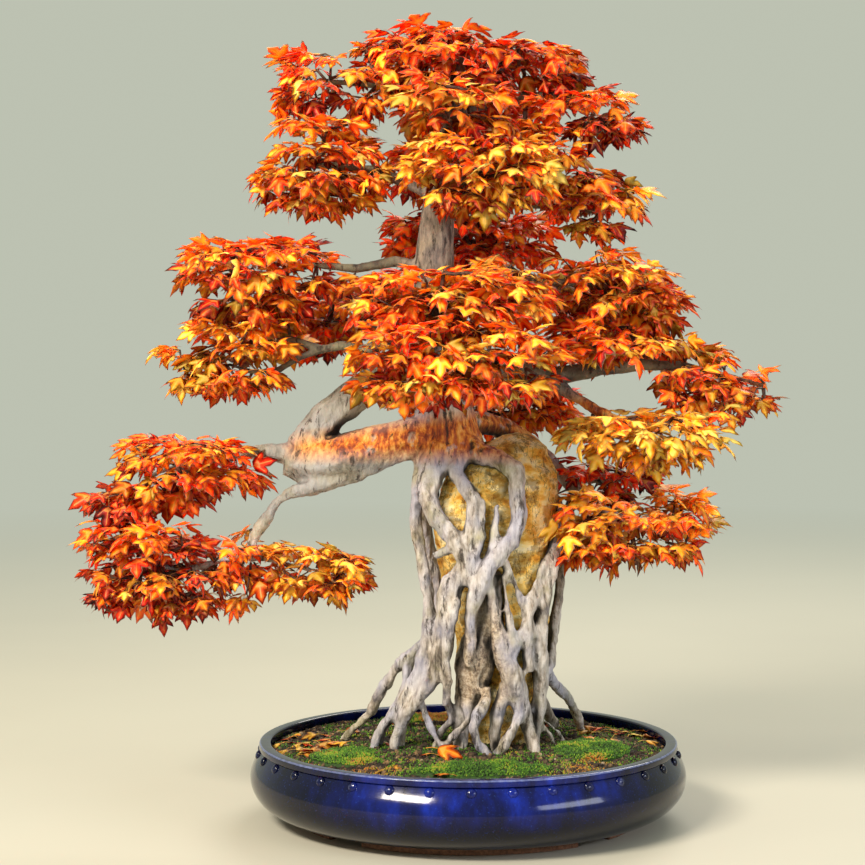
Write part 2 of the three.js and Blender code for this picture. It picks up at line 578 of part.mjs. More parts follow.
// A moss cushion: [bearing in degrees, distance from the soil's edge, half-length round the pot,
// half-depth, height]. It grows over the soil up to the pot's mouth and the rock, and stops short of the
// roots.
const MOSS_CUSHIONS = {
  moss_front: [-86, 72, 74, 34, 7],
  moss_right: [-17, 74, 56, 40, 9],
  moss_left: [-152, 70, 44, 44, 6],
  moss_back: [105, 56, 62, 30, 8],
};
const mouthRadius = rimRadius - LIP_WIDTH - CLEARANCE;
const mouth = solidOf(
  new THREE.CylinderGeometry(mouthRadius, mouthRadius, 2 * POT_HEIGHT, POT_SIDES).rotateX(Math.PI / 2),
);
const bedding = [soilSolid(CLEARANCE), rockSolid(CLEARANCE), trunkParts(MOSS_GAP)];

function mossSolid([bearing, inset, length, depth, height]) {
  const distance = soilEdgeRadius - inset;
  const cushion = new THREE.SphereGeometry(1, 12, 6)
    .rotateX(Math.PI / 2)
    .scale(depth, length, height)
    .translate(distance, 0, soilSurface(distance))
    .rotateZ(THREE.MathUtils.degToRad(bearing));
  return carved(solidOf(cushion), bedding).intersect(mouth);
}

// ---- Fallen leaves: three-lobed blades lying on the soil --------------------------------------------
// Each is [distance from the pot's axis, bearing in degrees, turn in degrees]: one by the roots, and
// two by the rim.
const FALLEN_LEAVES = {
  fallen_leaf_front: [86 * spreadRatio, -120, 200],
  fallen_leaf_left: [soilEdgeRadius - 42, 178, 40],
  fallen_leaf_right: [soilEdgeRadius - 40, 16, 120],
};
function fallenLeaf([distance, bearing, turn]) {
  const s = FALLEN_LEAF_SIZE / 2;
  const outline = new THREE.Shape();
  outline.moveTo(-0.12 * s, -s);
  outline.quadraticCurveTo(-0.9 * s, -0.4 * s, -0.95 * s, 0.5 * s);
  outline.lineTo(-0.35 * s, 0.2 * s);
  outline.lineTo(0, s);
  outline.lineTo(0.35 * s, 0.2 * s);
  outline.lineTo(0.95 * s, 0.5 * s);
  outline.quadraticCurveTo(0.9 * s, -0.4 * s, 0.12 * s, -s);
  const blade = new THREE.ExtrudeGeometry(outline, {
    depth: FALLEN_LEAF_THICKNESS,
    bevelEnabled: false,
    curveSegments: 3,
  });
  return blade
    .rotateZ(THREE.MathUtils.degToRad(turn))
    .translate(distance, 0, soilSurface(distance - FALLEN_LEAF_SIZE / 2) + 2 * CLEARANCE)
    .rotateZ(THREE.MathUtils.degToRad(bearing));
}

// ---- Assembly --------------------------------------------------------------------------------------
const bonsai = new THREE.Group();
bonsai.add(meshOf("pot", pot, FINISHES.cobaltGlaze));
screens.forEach((screen, i) =>
  bonsai.add(meshOf(`drainage_screen_${i + 1}`, screen, FINISHES.plasticScreen)),
);

const planting = new THREE.Group();
planting.position.z = soilTop;
planting.add(meshOf("soil", soil, FINISHES.bakedClaySoil));
planting.add(meshOf("rock", rock, FINISHES.ochreRock));
planting.add(meshOf("trunk_and_roots", trunk, FINISHES.mapleBark));
for (const [name, solid] of Object.entries(branches))
  planting.add(meshOf(name, solid, FINISHES.mapleBark));
for (const [name, solid] of Object.entries(leafMasses))
  planting.add(meshOf(name, solid, FINISHES.autumnLeaf));
for (const [name, size] of Object.entries(MOSS_CUSHIONS))
  planting.add(meshOf(name, mossSolid(size), FINISHES.greenMoss));
for (const [name, place] of Object.entries(FALLEN_LEAVES))
  planting.add(meshOf(name, solidOf(fallenLeaf(place)), FINISHES.driedLeaf));
bonsai.add(planting);

export default bonsai;
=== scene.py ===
import math
import random

import bmesh
import bpy
import numpy as np
from mathutils import Matrix, Vector, geometry, noise
from mathutils.bvhtree import BVHTree


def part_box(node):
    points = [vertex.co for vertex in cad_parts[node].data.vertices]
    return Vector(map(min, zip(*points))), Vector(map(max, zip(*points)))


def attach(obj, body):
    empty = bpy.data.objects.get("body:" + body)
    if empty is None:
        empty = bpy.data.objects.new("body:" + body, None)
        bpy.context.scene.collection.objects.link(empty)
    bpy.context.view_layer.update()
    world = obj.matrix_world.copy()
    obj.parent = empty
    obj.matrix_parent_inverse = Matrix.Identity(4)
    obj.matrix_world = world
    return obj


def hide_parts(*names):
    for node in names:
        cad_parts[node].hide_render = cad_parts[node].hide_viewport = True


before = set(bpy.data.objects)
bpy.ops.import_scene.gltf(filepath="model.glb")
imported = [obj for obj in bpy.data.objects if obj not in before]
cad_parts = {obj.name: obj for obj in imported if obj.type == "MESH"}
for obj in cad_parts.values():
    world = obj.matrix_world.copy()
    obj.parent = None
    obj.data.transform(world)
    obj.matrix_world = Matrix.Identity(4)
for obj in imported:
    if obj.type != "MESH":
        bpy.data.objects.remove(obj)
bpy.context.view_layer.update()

MM = 0.001
scene = bpy.context.scene
rng = np.random.default_rng(11)
random.seed(11)

WOOD_NODES = ["trunk_and_roots"] + sorted(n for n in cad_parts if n.startswith("branch_"))
LEAF_NODES = sorted(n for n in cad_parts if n.startswith("leaves_"))
MOSS_NODES = sorted(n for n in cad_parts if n.startswith("moss_"))
FALLEN_NODES = sorted(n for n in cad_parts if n.startswith("fallen_leaf_"))

pot_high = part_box("pot")[1]
POT_RADIUS = pot_high.x
POT_HEIGHT = pot_high.z
soil_low, soil_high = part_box("soil")
SOIL_TOP = soil_high.z


def linked(name, data):
    """A new object in the scene."""
    made = bpy.data.objects.new(name, data)
    scene.collection.objects.link(made)
    return made


def turned_towards(place, aim):
    """The turn of a camera or a lamp that stands at place and faces aim."""
    return (Vector(aim) - Vector(place)).to_track_quat("-Z", "Y").to_euler()


# ---- Camera: in front of the pot and a little to its left, at the height of the lower branches ------
CAMERA_PLACE = Vector((-0.036, -2.6, 0.565))
CAMERA_AIM = Vector((-0.036, 0, 0.391))
camera = linked("camera", bpy.data.cameras.new("camera"))
camera.data.sensor_width = 36
camera.data.lens = 108
camera.location = CAMERA_PLACE
camera.rotation_euler = turned_towards(CAMERA_PLACE, CAMERA_AIM)
scene.camera = camera


# ---- Colours and nodes ----
def linear(colour):
    """An sRGB hex colour as linear red, green, blue and alpha."""
    channels = [int(colour[i : i + 2], 16) / 255 for i in (1, 3, 5)]
    return [c / 12.92 if c < 0.04045 else ((c + 0.055) / 1.055) ** 2.4 for c in channels] + [1.0]


def add(tree, kind, *values, out=None, ramp=None, **settings):
    """Adds a node with its settings, fills the inputs that it shows, in order, and gives an output.

    A value is a number, a hex colour or another node's output, and None leaves its input alone.
    The output is the one named out, or else the first that the node shows.
    """
    made = tree.nodes.new("ShaderNode" + kind)
    for name, value in settings.items():
        setattr(made, name, value)
    if ramp:
        stops = made.color_ramp.elements
        while len(stops) < len(ramp):
            stops.new(0.5)
        for stop, (position, colour) in zip(stops, ramp):
            stop.position = position
            stop.color = linear(colour)
    for socket, value in zip([i for i in made.inputs if i.enabled], values):
        if isinstance(value, bpy.types.NodeSocket):
            tree.links.new(value, socket)
        elif value is not None:
            socket.default_value = linear(value) if isinstance(value, str) else value
    return made.outputs[out] if out else [o for o in made.outputs if o.enabled][0]


def finish_of(name, **sockets):
    """A new material and its tree and shader, with the sockets that are the same all over it."""
    made = bpy.data.materials.new(name)
    made.use_nodes = True
    shader = made.node_tree.nodes["Principled BSDF"]
    for socket, value in sockets.items():
        shader.inputs[socket.replace("_", " ")].default_value = value
    return made, made.node_tree, shader


def grains(tree, size, detail, roughness=0.55, stretch=(1, 1, 1)):
    """Noise whose lumps are about size across, in metres, stretched along the axes as given."""
    place = add(tree, "TexCoord", out="Object")
    mapped = add(tree, "Mapping", place, None, None, [1 / s for s in stretch])
    return add(tree, "TexNoise", mapped, 1 / size, detail, roughness)


def zone(tree, inside, *limits):
    """The share, up to inside, that a zone takes. Each limit is a value, the span of it over which
    the zone's edge fades, and the share at each end of that span if they aren't 0 and 1."""
    for limit in limits:
        edge = add(tree, "MapRange", *limit)
        inside = add(tree, "Math", inside, edge, operation="MULTIPLY")
    return inside


def parts_of_place(tree):
    """The distances to the right of the pot's axis, behind it, and up from what it stands on."""
    place = add(tree, "TexCoord", out="Object")
    return add(tree, "SeparateXYZ", place).node.outputs


def surfaced(tree, shader, colour, height, depth, strength=1.0):
    """Colours the shader, and bumps it by a height from 0 to 1 that stands for depth, in metres."""
    bump = add(tree, "Bump", strength, depth, None, height)
    tree.links.new(colour, shader.inputs["Base Color"])
    tree.links.new(bump, shader.inputs["Normal"])


# ---- Finishes ----
def autumn_maple_leaf():
    """A maple leaf that has turned: thin, a little waxy, and lit through from behind."""
    made, tree, shader = finish_of("autumn_maple_leaf", Roughness=0.5)
    tint = add(tree, "Attribute", attribute_name="tint")
    # In the clouds' leaves, the tint's red (how far a leaf has turned) also carries painted shade that
    # reddens leaves inside and under a cloud. Its green (each leaf's own tone) also carries painted light
    # and shade.
    ripe_and_shade, tone_and_shade, vein = add(tree, "SeparateColor", tint).node.outputs
    blotches = add(tree, "MapRange", grains(tree, 9 * MM, 4), 0.3, 0.7, -0.12, 0.12)
    towards_vein = add(tree, "MapRange", vein, 0.0, 1.0, -0.08, 0.15)
    for shift in (blotches, towards_vein):
        ripe_and_shade = add(tree, "Math", ripe_and_shade, shift, operation="ADD")
    turned = [
        (0.0, "#2A0404"), (0.14, "#780B05"), (0.28, "#D81E06"), (0.42, "#FF4608"),
        (0.55, "#FF780A"), (0.68, "#FFA012"), (0.82, "#FFC62C"), (1.0, "#FFE470"),
    ]
    # Painted light and shade: leaves in painted shade go dark, and lit leaves are painted brighter than
    # their own colour.
    value = add(tree, "MapRange", tone_and_shade, 0, 1, 0.3, 1.62)
    colour = add(tree, "HueSaturation", 0.5, 1, value, 1, add(tree, "ValToRGB", ripe_and_shade, ramp=turned))
    layers = [
        (zone(tree, 0.5, (vein, 0.86, 1.0)), "#FFC860"),  # the veins
        (zone(tree, 0.85, (vein, 0.04, 0.2, 1, 0), (tone_and_shade, 0.35, 0.75)), "#FFD9AC"),  # the margin
    ]
    for share, over in layers:
        colour = add(tree, "Mix", share, colour, over, data_type="RGBA")
    height = add(tree, "Math", vein, grains(tree, 1.6 * MM, 2), operation="ADD")
    surfaced(tree, shader, colour, height, 0.5 * MM, 0.5)
    through = add(tree, "BsdfTranslucent", colour)
    both = add(tree, "MixShader", 0.3, shader.outputs[0], through)
    tree.links.new(both, tree.nodes["Material Output"].inputs[0])
    return made


def maple_bark():
    """Old trident maple bark: pale grey-lilac on the ridges, black in the cracks, ochre on the saddle, with
    painted shade in its deep crevices.
    """
    made, tree, shader = finish_of("maple_bark", Roughness=0.72)
    across, deep, up = parts_of_place(tree)
    openness_shade = add(tree, "Attribute", out="Fac", attribute_name="openness_shade")
    fibres = grains(tree, 5 * MM, 6, 0.65, (1, 1, 3.5))
    patches = grains(tree, 38 * MM, 3)
    uneven = add(tree, "MapRange", fibres, 0.3, 0.7, -0.3, 0.3)
    mottled = add(tree, "Math", uneven, patches, operation="ADD")
    ridges = [
        (0.2, "#564C44"), (0.36, "#8F8478"), (0.5, "#B3A89E"), (0.66, "#C8BFB8"), (0.85, "#DDD6D0"),
    ]
    colour = add(tree, "ValToRGB", mottled, ramp=ridges)
    lilac = zone(tree, 0.6, (grains(tree, 55 * MM, 2), 0.46, 0.6))
    lichen = zone(tree, 0.5, (grains(tree, 30 * MM, 4), 0.54, 0.7))
    low_limb = zone(tree, 0.6, (across, -0.09, -0.05, 1, 0), (up, 0.28, 0.31))
    # Painted shade: the trunk's neck is painted darker, a fibrous tan-grey.
    neck = zone(tree, 0.85, (up, 0.43, 0.5))
    neck_fibres = zone(tree, 1, (fibres, 0.35, 0.65))
    neck_shade_colour = add(tree, "Mix", neck_fibres, "#42352A", "#8E7C66", data_type="RGBA")
    # The granular root mass low in the middle, behind the standing roots.
    burl = zone(
        tree, 0.8, (up, 0.118, 0.13), (up, 0.2, 0.24, 1, 0), (across, -0.024, -0.016),
        (across, 0.03, 0.045, 1, 0), (deep, -0.064, -0.059),
    )
    crumbs = [(0.36, "#3A2A1E"), (0.45, "#94795C"), (0.54, "#C4AE94"), (0.7, "#E0D2BE")]
    burl_colour = add(tree, "ValToRGB", grains(tree, 4 * MM, 6, 0.75), ramp=crumbs)
    # The saddle where the low limb leaves the trunk has weathered to ochre.
    slope = add(tree, "Math", across, -0.16, operation="MULTIPLY")
    tilted = add(tree, "Math", up, slope, operation="ADD")
    saddle = zone(
        tree, 0.98, (up, 0.36, 0.378), (tilted, 0.404, 0.422, 1, 0), (across, -0.19, -0.165),
        (grains(tree, 16 * MM, 4), 0.28, 0.42),
    )
    ochre = [(0.25, "#7A2A06"), (0.42, "#B8540C"), (0.55, "#DC8422"), (0.75, "#ECAE58")]
    saddle_colour = add(tree, "ValToRGB", mottled, ramp=ochre)
    # The young limbs high in the crown are darker than the trunk that carries them.
    beside_trunk = add(tree, "Math", across, 0.03, operation="ADD")
    from_trunk = add(tree, "Math", beside_trunk, operation="ABSOLUTE")
    young = zone(tree, 0.85, (up, 0.41, 0.45), (from_trunk, 0.028, 0.05))
    in_patches = zone(tree, 1, (patches, 0.42, 0.6))
    young_colour = add(tree, "Mix", in_patches, "#3E3228", "#7A7458", data_type="RGBA")
    # Painted shade: near black where other surfaces close in round the bark, in its crevices and between
    # roots.
    painted_crack_shade = zone(tree, 0.98, (openness_shade, 0.5, 0.94, 1, 0))
    cracks = zone(tree, 0.9, (grains(tree, 8 * MM, 8, 0.7, (1, 1, 4)), 0.37, 0.45, 1, 0))
    layers = [
        (lilac, "#A2A3BC"), (lichen, "#A19A62"), (low_limb, "#8C8878"), (neck, neck_shade_colour),
        (burl, burl_colour), (saddle, saddle_colour), (young, young_colour), (painted_crack_shade, "#120C08"),
        (cracks, "#241810"),
    ]
    for share, over in layers:
        colour = add(tree, "Mix", share, colour, over, data_type="RGBA")
    fine = grains(tree, 2.2 * MM, 4, 0.6, (1, 1, 2))
    height = add(tree, "Math", fibres, fine, operation="ADD")
    surfaced(tree, shader, colour, height, 1.8 * MM, 0.9)
    return made


def ochre_rock():
    """Iron-stained sandstone, weathered rough: ochre to cream, with brown seams, and painted shade in its
    pits and crevices.
    """
    made, tree, shader = finish_of("ochre_rock", Roughness=0.86)
    openness_shade = add(tree, "Attribute", out="Fac", attribute_name="openness_shade")
    beds = grains(tree, 16 * MM, 7, 0.62, (1.3, 1.3, 0.7))
    stains = [
        (0.28, "#A86018"), (0.38, "#E09A2C"), (0.48, "#F8C860"), (0.58, "#FFE4A0"), (0.72, "#FFF4D4"),
    ]
    colour = add(tree, "ValToRGB", beds, ramp=stains)
    # A fissure runs where a broad noise passes its middle value.
    broad = grains(tree, 30 * MM, 6, 0.6, (0.5, 0.5, 1.4))
    layers = [
        (zone(tree, 0.5, (grains(tree, 24 * MM, 9, 0.7), 0.44, 0.48, 1, 0)), "#4A2408"),  # the seams
        (zone(tree, 0.8, (broad, 0.485, 0.5), (broad, 0.5, 0.515, 1, 0)), "#3A1C08"),
        # Painted shade: dark where other surfaces close in, in the pits and crevices.
        (zone(tree, 0.7, (openness_shade, 0.04, 0.34, 1, 0)), "#2A1708"),  # the pits
    ]
    for share, over in layers:
        colour = add(tree, "Mix", share, colour, over, data_type="RGBA")
    height = add(tree, "Math", beds, grains(tree, 4 * MM, 5, 0.7), operation="ADD")
    surfaced(tree, shader, colour, height, 3 * MM, 0.9)
    return made


def cobalt_glaze():
    """Glossy cobalt glaze on stoneware: deep blue where it pools, thin and pale on the lip's edge, with
    painted highlights on the studs' tops and painted shade low down and to each side.
    """
    made, tree, shader = finish_of(
        "cobalt_glaze", Roughness=0.12, IOR=1.5, Specular_IOR_Level=0.3, Coat_Weight=0.1,
        Coat_Roughness=0.04,
    )
    edge = add(tree, "Attribute", out="Fac", attribute_name="edge")
    blues = [(0.25, "#01041C"), (0.42, "#030A40"), (0.56, "#07186C"), (0.76, "#1230B0")]
    colour = add(tree, "ValToRGB", grains(tree, 26 * MM, 5, 0.6, (1, 1, 2.5)), ramp=blues)
    # Painted shade: the glaze is left brightest at the middle of the front, and painted shade takes it to
    # near black low down and to each side.
    across, _, up = parts_of_place(tree)
    aside = add(tree, "Math", across, operation="ABSOLUTE")
    uneven = add(tree, "MapRange", grains(tree, 5 * MM, 4), 0.3, 0.7, -0.2, 0.2)
    thin_and_highlight = add(tree, "Math", edge, uneven, operation="ADD")
    layers = [
        (zone(tree, 0.9, (aside, 70 * MM, 165 * MM)), "#01020E"),
        (zone(tree, 0.96, (up, 26 * MM, 58 * MM, 1, 0)), "#01020E"),
        (zone(tree, 0.16, (grains(tree, 1.8 * MM, 3), 0.62, 0.72)), "#3E68D8"),  # fine speckles
        # Pale where the glaze runs thin on the lip, and a painted highlight on the studs' tops.
        (zone(tree, 0.5, (thin_and_highlight, 0.5, 1.1)), "#8C98C8"),
    ]
    for share, over in layers:
        colour = add(tree, "Mix", share, colour, over, data_type="RGBA")
    surfaced(tree, shader, colour, grains(tree, 22 * MM, 2), 0.5 * MM, 0.35)
    return made


def plain(name, roughness, colour_grains, relief_grains, depth, *stops):
    """A dull finish: one noise runs its colour along the stops, and a finer one roughens it."""
    made, tree, shader = finish_of(name, Roughness=roughness)
    colour = add(tree, "ValToRGB", grains(tree, *colour_grains), ramp=stops)
    surfaced(tree, shader, colour, grains(tree, *relief_grains), depth)
    return made


def tinted(name, roughness, grain, depth, *stops):
    """A dull finish whose colour runs along the stops by each small piece's own tint."""
    made, tree, shader = finish_of(name, Roughness=roughness)
    tint = add(tree, "Attribute", attribute_name="tint")
    uneven = add(tree, "MapRange", grains(tree, grain, 3), 0.3, 0.7, -0.12, 0.12)
    own = add(tree, "SeparateColor", tint, out="Red")
    mixed = add(tree, "Math", own, uneven, operation="ADD")
    colour = add(tree, "ValToRGB", mixed, ramp=stops)
    surfaced(tree, shader, colour, grains(tree, grain / 2, 2), depth)
    return made


LEAF = autumn_maple_leaf()
BARK = maple_bark()
# Year-old maple shoots: thin, dark reddish brown and matt.
TWIG = plain(
    "maple_twig", 0.7, (6 * MM, 3), (1.5 * MM, 2), 0.3 * MM, (0.35, "#2A1812"), (0.65, "#6A4634")
)
ROCK = ochre_rock()
GLAZE = cobalt_glaze()
# The unglazed foot: fired iron-bearing clay with fine grog.
CLAY = plain(
    "bare_stoneware", 0.82, (3 * MM, 5), (1.5 * MM, 4), 0.4 * MM, (0.3, "#4E3022"), (0.7, "#8A5F45")
)
# Black polyethylene drainage net, moulded, slightly dusty.
NETTING = plain(
    "moulded_netting", 0.55, (4 * MM, 4), (2 * MM, 2), 0.2 * MM, (0.4, "#161816"), (0.8, "#4C463C")
)
# Damp bonsai soil: near-black humus between the grains.
SOIL = plain(
    "damp_soil", 0.88, (7 * MM, 8, 0.7), (3 * MM, 6, 0.7), 2.5 * MM,
    (0.35, "#0E0B07"), (0.52, "#241A10"), (0.62, "#33331A"), (0.78, "#4C3A22"),
)
# Baked-clay and lava granules: dull browns and greys, a few tan.
GRIT = tinted(
    "baked_clay_grit", 0.9, 2 * MM, 0.4 * MM,
    (0.0, "#17110C"), (0.35, "#3A2A1C"), (0.6, "#5C4A34"), (0.8, "#8A6A44"), (1.0, "#A89A84"),
)
# Moss shoots: dark green in the shade, fresh green tips, golden brown where they have dried.
MOSS = tinted(
    "moss_shoots", 0.85, 3 * MM, 0.3 * MM,
    (0.0, "#16220A"), (0.25, "#2C4A10"), (0.5, "#4A7A16"), (0.68, "#7C9A22"), (0.82, "#A8842E"),
    (1.0, "#AE6424"),
)


# ---- Meshes ----
def placed(name, mesh, materials, replaced=()):
    """Puts a mesh into the scene as a piece that rides with the pot and stands for CAD nodes."""
    made = linked(name, mesh)
    for material in materials:
        mesh.materials.append(material)
    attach(made, "root")
    if replaced:
        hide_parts(*replaced)


def mesh_of(name, corners, triangles, smooth=True):
    """A mesh of triangles from arrays of corners and of the three corners of each triangle."""
    mesh = bpy.data.meshes.new(name)
    mesh.vertices.add(len(corners))
    mesh.vertices.foreach_set("co", np.asarray(corners, np.float32).ravel())
    mesh.loops.add(3 * len(triangles))
    mesh.loops.foreach_set("vertex_index", np.asarray(triangles, np.int32).ravel())
    mesh.polygons.add(len(triangles))
    mesh.polygons.foreach_set("loop_start", np.arange(0, 3 * len(triangles), 3, dtype=np.int32))
    mesh.polygons.foreach_set("use_smooth", np.full(len(triangles), smooth))
    mesh.update(calc_edges=True)
    return mesh


def rows_of(items, key, width, kind=np.float32):
    """What each of a mesh's items holds under key, as an array with a row for each item."""
    found = np.empty(len(items) * width, kind)
    items.foreach_get(key, found)
    return found.reshape(-1, width)


def corners_of(mesh):
    return rows_of(mesh.vertices, "co", 3).astype(float)


def triangles_of(mesh):
    mesh.calc_loop_triangles()
    return rows_of(mesh.loop_triangles, "vertices", 3, np.int32)


def normals_of(mesh):
    return rows_of(mesh.vertex_normals, "vector", 3).astype(float)


def unit(rows):
    """Each row of an array as a vector of length 1."""
    return rows / np.linalg.norm(rows, axis=1)[:, None]


def shifted(mesh, places):
    """Puts each corner at its new place."""
    mesh.vertices.foreach_set("co", places.astype(np.float32).ravel())
    mesh.update()


def tint(mesh, values):
    """Keeps a colour for each corner, from an array of up to four numbers a corner."""
    values = np.asarray(values, float).reshape(len(mesh.vertices), -1)
    colours = np.ones((len(values), 4))
    colours[:, : values.shape[1]] = values
    layer = mesh.color_attributes.new("tint", "FLOAT_COLOR", "POINT")
    layer.data.foreach_set("color", colours.ravel().astype(np.float32))


def measured(mesh, values, name):
    """Keeps one number for each corner."""
    layer = mesh.attributes.new(name, "FLOAT", "POINT")
    layer.data.foreach_set("value", np.asarray(values, np.float32))


def stacked(shapes):
    """Joins (corners, triangles) pairs into one pair."""
    corners, triangles, count = [], [], 0
    for shape_corners, shape_triangles in shapes:
        corners.append(shape_corners)
        triangles.append(np.asarray(shape_triangles) + count)
        count += len(shape_corners)
    return np.concatenate(corners), np.concatenate(triangles)


def averaged(mesh, values, rounds):
    """Evens a number or place at each corner with those beside it, a number of times."""
    edges = rows_of(mesh.edges, "vertices", 2, np.int32)
    count = len(mesh.vertices)
    shared = np.bincount(edges.ravel(), minlength=count)[:, None]
    for _ in range(rounds):
        total = np.zeros_like(values)
        for column in range(values.shape[1]):
            total[:, column] = np.bincount(edges[:, 0], values[edges[:, 1], column], count)
            total[:, column] += np.bincount(edges[:, 1], values[edges[:, 0], column], count)
        values = 0.5 * values + 0.5 * total / np.maximum(shared, 1)
    return values


def skin_over(name, shapes, voxel, rounds):
    """One closed skin over shapes that touch, evened out so that it flows from one to the next."""
    corners, triangles = stacked(shapes)
    rough = linked(name, mesh_of(name, corners, triangles))
    remesh = rough.modifiers.new("skin", "REMESH")
    remesh.mode = "VOXEL"
    remesh.voxel_size = voxel
    graph = bpy.context.evaluated_depsgraph_get()
    mesh = bpy.data.meshes.new_from_object(rough.evaluated_get(graph))
    bpy.data.objects.remove(rough)
    mesh.polygons.foreach_set("use_smooth", np.full(len(mesh.polygons), True))
    shifted(mesh, averaged(mesh, corners_of(mesh), rounds))
    return mesh


def pushed(mesh, heights):
    """Moves each corner out along its normal by its height."""
    shifted(mesh, corners_of(mesh) + normals_of(mesh) * heights[:, None])


def lumps(places, size, seed, stretch=(1, 1, 1)):
    """Noise from about -1 to 1 at each place, with lumps about size across."""
    shift = Vector((seed * 17.3, seed * 5.1, seed * 9.7))
    scale = np.array([1 / (size * s) for s in stretch])
    return np.array([noise.noise(Vector(p) + shift) for p in places * scale])


def openness(mesh, blockers, reach, rays):
    """How open each corner is to the air, from 0 in a deep crack to 1."""
    places, normals = corners_of(mesh), normals_of(mesh)
    spread = unit(rng.normal(size=(rays, 3)))
    seen = np.zeros(len(places))
    for way in spread:
        towards = unit(normals * 1.15 + way)
        starts = places + normals * 0.6 * MM
        for i, (start, direction) in enumerate(zip(starts, towards)):
            hit = blockers.ray_cast(Vector(start), Vector(direction), reach)
            seen[i] += 1.0 if hit[0] is None else 0.7 * hit[3] / reach
    return averaged(mesh, seen[:, None] / rays, 2)[:, 0]


def tree_over(meshes):
    corners, triangles = stacked([(corners_of(m), triangles_of(m)) for m in meshes])
    return BVHTree.FromPolygons(corners.tolist(), triangles.tolist())


def cad_shape(node):
    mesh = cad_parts[node].data
    return corners_of(mesh), triangles_of(mesh)


# ---- Trunk, roots and branches: one living skin ----
WOOD_VOXEL = 1.7 * MM
ROCK_VOXEL = 2.2 * MM
RIDGE_WIDTH = 13 * MM  # of the ridges of the bark, across the grain
CRACK_REACH = 22 * MM  # how far away another surface still shades a crack
CRACK_RAYS = 8
YOUNG_BARK_HEIGHT, BARK_FADE = 0.47, 0.1  # where the bark is smooth, and over how much it fades
LIMB_LEFT_OF, LIMB_ABOVE = -0.06, 0.3  # where the low limb lies, and its ridges with it


def wood_skin():
    mesh = skin_over("trunk_and_branches", [cad_shape(node) for node in WOOD_NODES], WOOD_VOXEL, 9)
    places = corners_of(mesh)
    thick = np.clip((YOUNG_BARK_HEIGHT - places[:, 2]) / BARK_FADE, 0, 1)
    limb = (places[:, 0] < LIMB_LEFT_OF) & (places[:, 2] > LIMB_ABOVE)
    upright = lumps(places, RIDGE_WIDTH, 1, (1, 1, 2.6))
    lying = lumps(places, RIDGE_WIDTH, 1, (2.6, 1, 1))
    swell = lumps(places, 30 * MM, 2)
    fine = lumps(places, 5 * MM, 3, (1, 1, 1.8))
    ridged = np.where(limb, lying, upright)
    pits = np.clip(lumps(places, 8 * MM, 7, (1, 1, 1.5)) - 0.25, 0, 1)
    heights = (2.0 * ridged + 2.0 * swell + 1.2 * fine - 2.6 * pits) * MM
    pushed(mesh, heights * (0.2 + 0.8 * thick))
    return mesh


def rock_skin():
    mesh = skin_over("rock", [cad_shape("rock")], ROCK_VOXEL, 3)
    places = corners_of(mesh)
    cells = lumps(places, 22 * MM, 4, (1, 1, 0.8))
    ledges = np.abs(lumps(places, 15 * MM, 5, (1.4, 1.4, 0.6)))
    rough = lumps(places, 5 * MM, 6)
    pushed(mesh, (-3.0 * ledges + 2.0 * cells + 1.0 * rough - 0.5) * MM)
    return mesh


wood = wood_skin()
rock = rock_skin()
blockers = tree_over([wood, rock])
# How open each corner is to the air, kept for the painted shade in the crevices of the bark and the rock.
for skin in (wood, rock):
    measured(skin, openness(skin, blockers, CRACK_REACH, CRACK_RAYS), "openness_shade")
placed("trunk_roots_and_branches", wood, [BARK], WOOD_NODES)
placed("rock_under_roots", rock, [ROCK], ["rock"])


# ---- Leaves ----
LEAF_LENGTH = 19.5 * MM
STALK = 0.55  # length of the stalk, as a share of the blade's
# The right half of a three-lobed blade, from the stalk round to the tip, with its length as 1.
HALF_BLADE = [
    (0.03, 0.0), (0.22, 0.03), (0.36, 0.14), (0.44, 0.3), (0.62, 0.5), (0.66, 0.66), (0.46, 0.6),
    (0.24, 0.55), (0.27, 0.7), (0.15, 0.86), (0.0, 1.08),
]
VEINS = [
    (0.0, 0.06), (0.0, 0.3), (0.0, 0.55), (0.0, 0.8), (0.2, 0.26), (0.42, 0.45), (-0.2, 0.26),
    (-0.42, 0.45),
]
VEIN_ROUTES = [(0, 1), (1, 2), (2, 3), (0, 4), (4, 5), (0, 6), (6, 7)]


def flat_blade():
    """Corners, triangles, and how close each corner is to a vein, of a blade lying flat."""
    left = [(-x, y) for x, y in reversed(HALF_BLADE[:-1])]
    rim = HALF_BLADE + left
    points = [Vector(p) for p in rim + VEINS]
    count = len(rim)
    edges = [(i, (i + 1) % count) for i in range(count)]
    edges += [(a + count, b + count) for a, b in VEIN_ROUTES]
    found = geometry.delaunay_2d_cdt(points, edges, [list(range(count))], 1, 1e-5)
    flat = np.array([[p.x, p.y, 0.0] for p in found[0]])
    veined = np.array([any(i >= count for i in origin) for origin in found[3]], float)
    return flat, np.array(found[2]), veined


FLAT, FLAT_TRIANGLES, VEINED = flat_blade()
BLADE_THICKNESS = 0.012  # as a share of the length


def stalk_rings():
    """A three-sided stalk from the shoot to the blade, and its closed triangles."""
    rings = 3
    corners, triangles = [], []
    for ring in range(rings):
        share = ring / (rings - 1)
        radius = 0.018 - 0.006 * share
        for side in range(3):
            turn = side * 2 * math.pi / 3
            sag = 0.06 * math.sin(math.pi * share)
            corners.append((radius * math.cos(turn), share * (STALK + 0.05), sag + radius * math.sin(turn)))
    for ring in range(rings - 1):
        for side in range(3):
            a, b = 3 * ring + side, 3 * ring + (side + 1) % 3
            triangles += [(a, a + 3, b), (b, a + 3, b + 3)]
    triangles += [(0, 1, 2), (3 * rings - 1, 3 * rings - 2, 3 * rings - 3)]
    return np.array(corners), np.array(triangles)


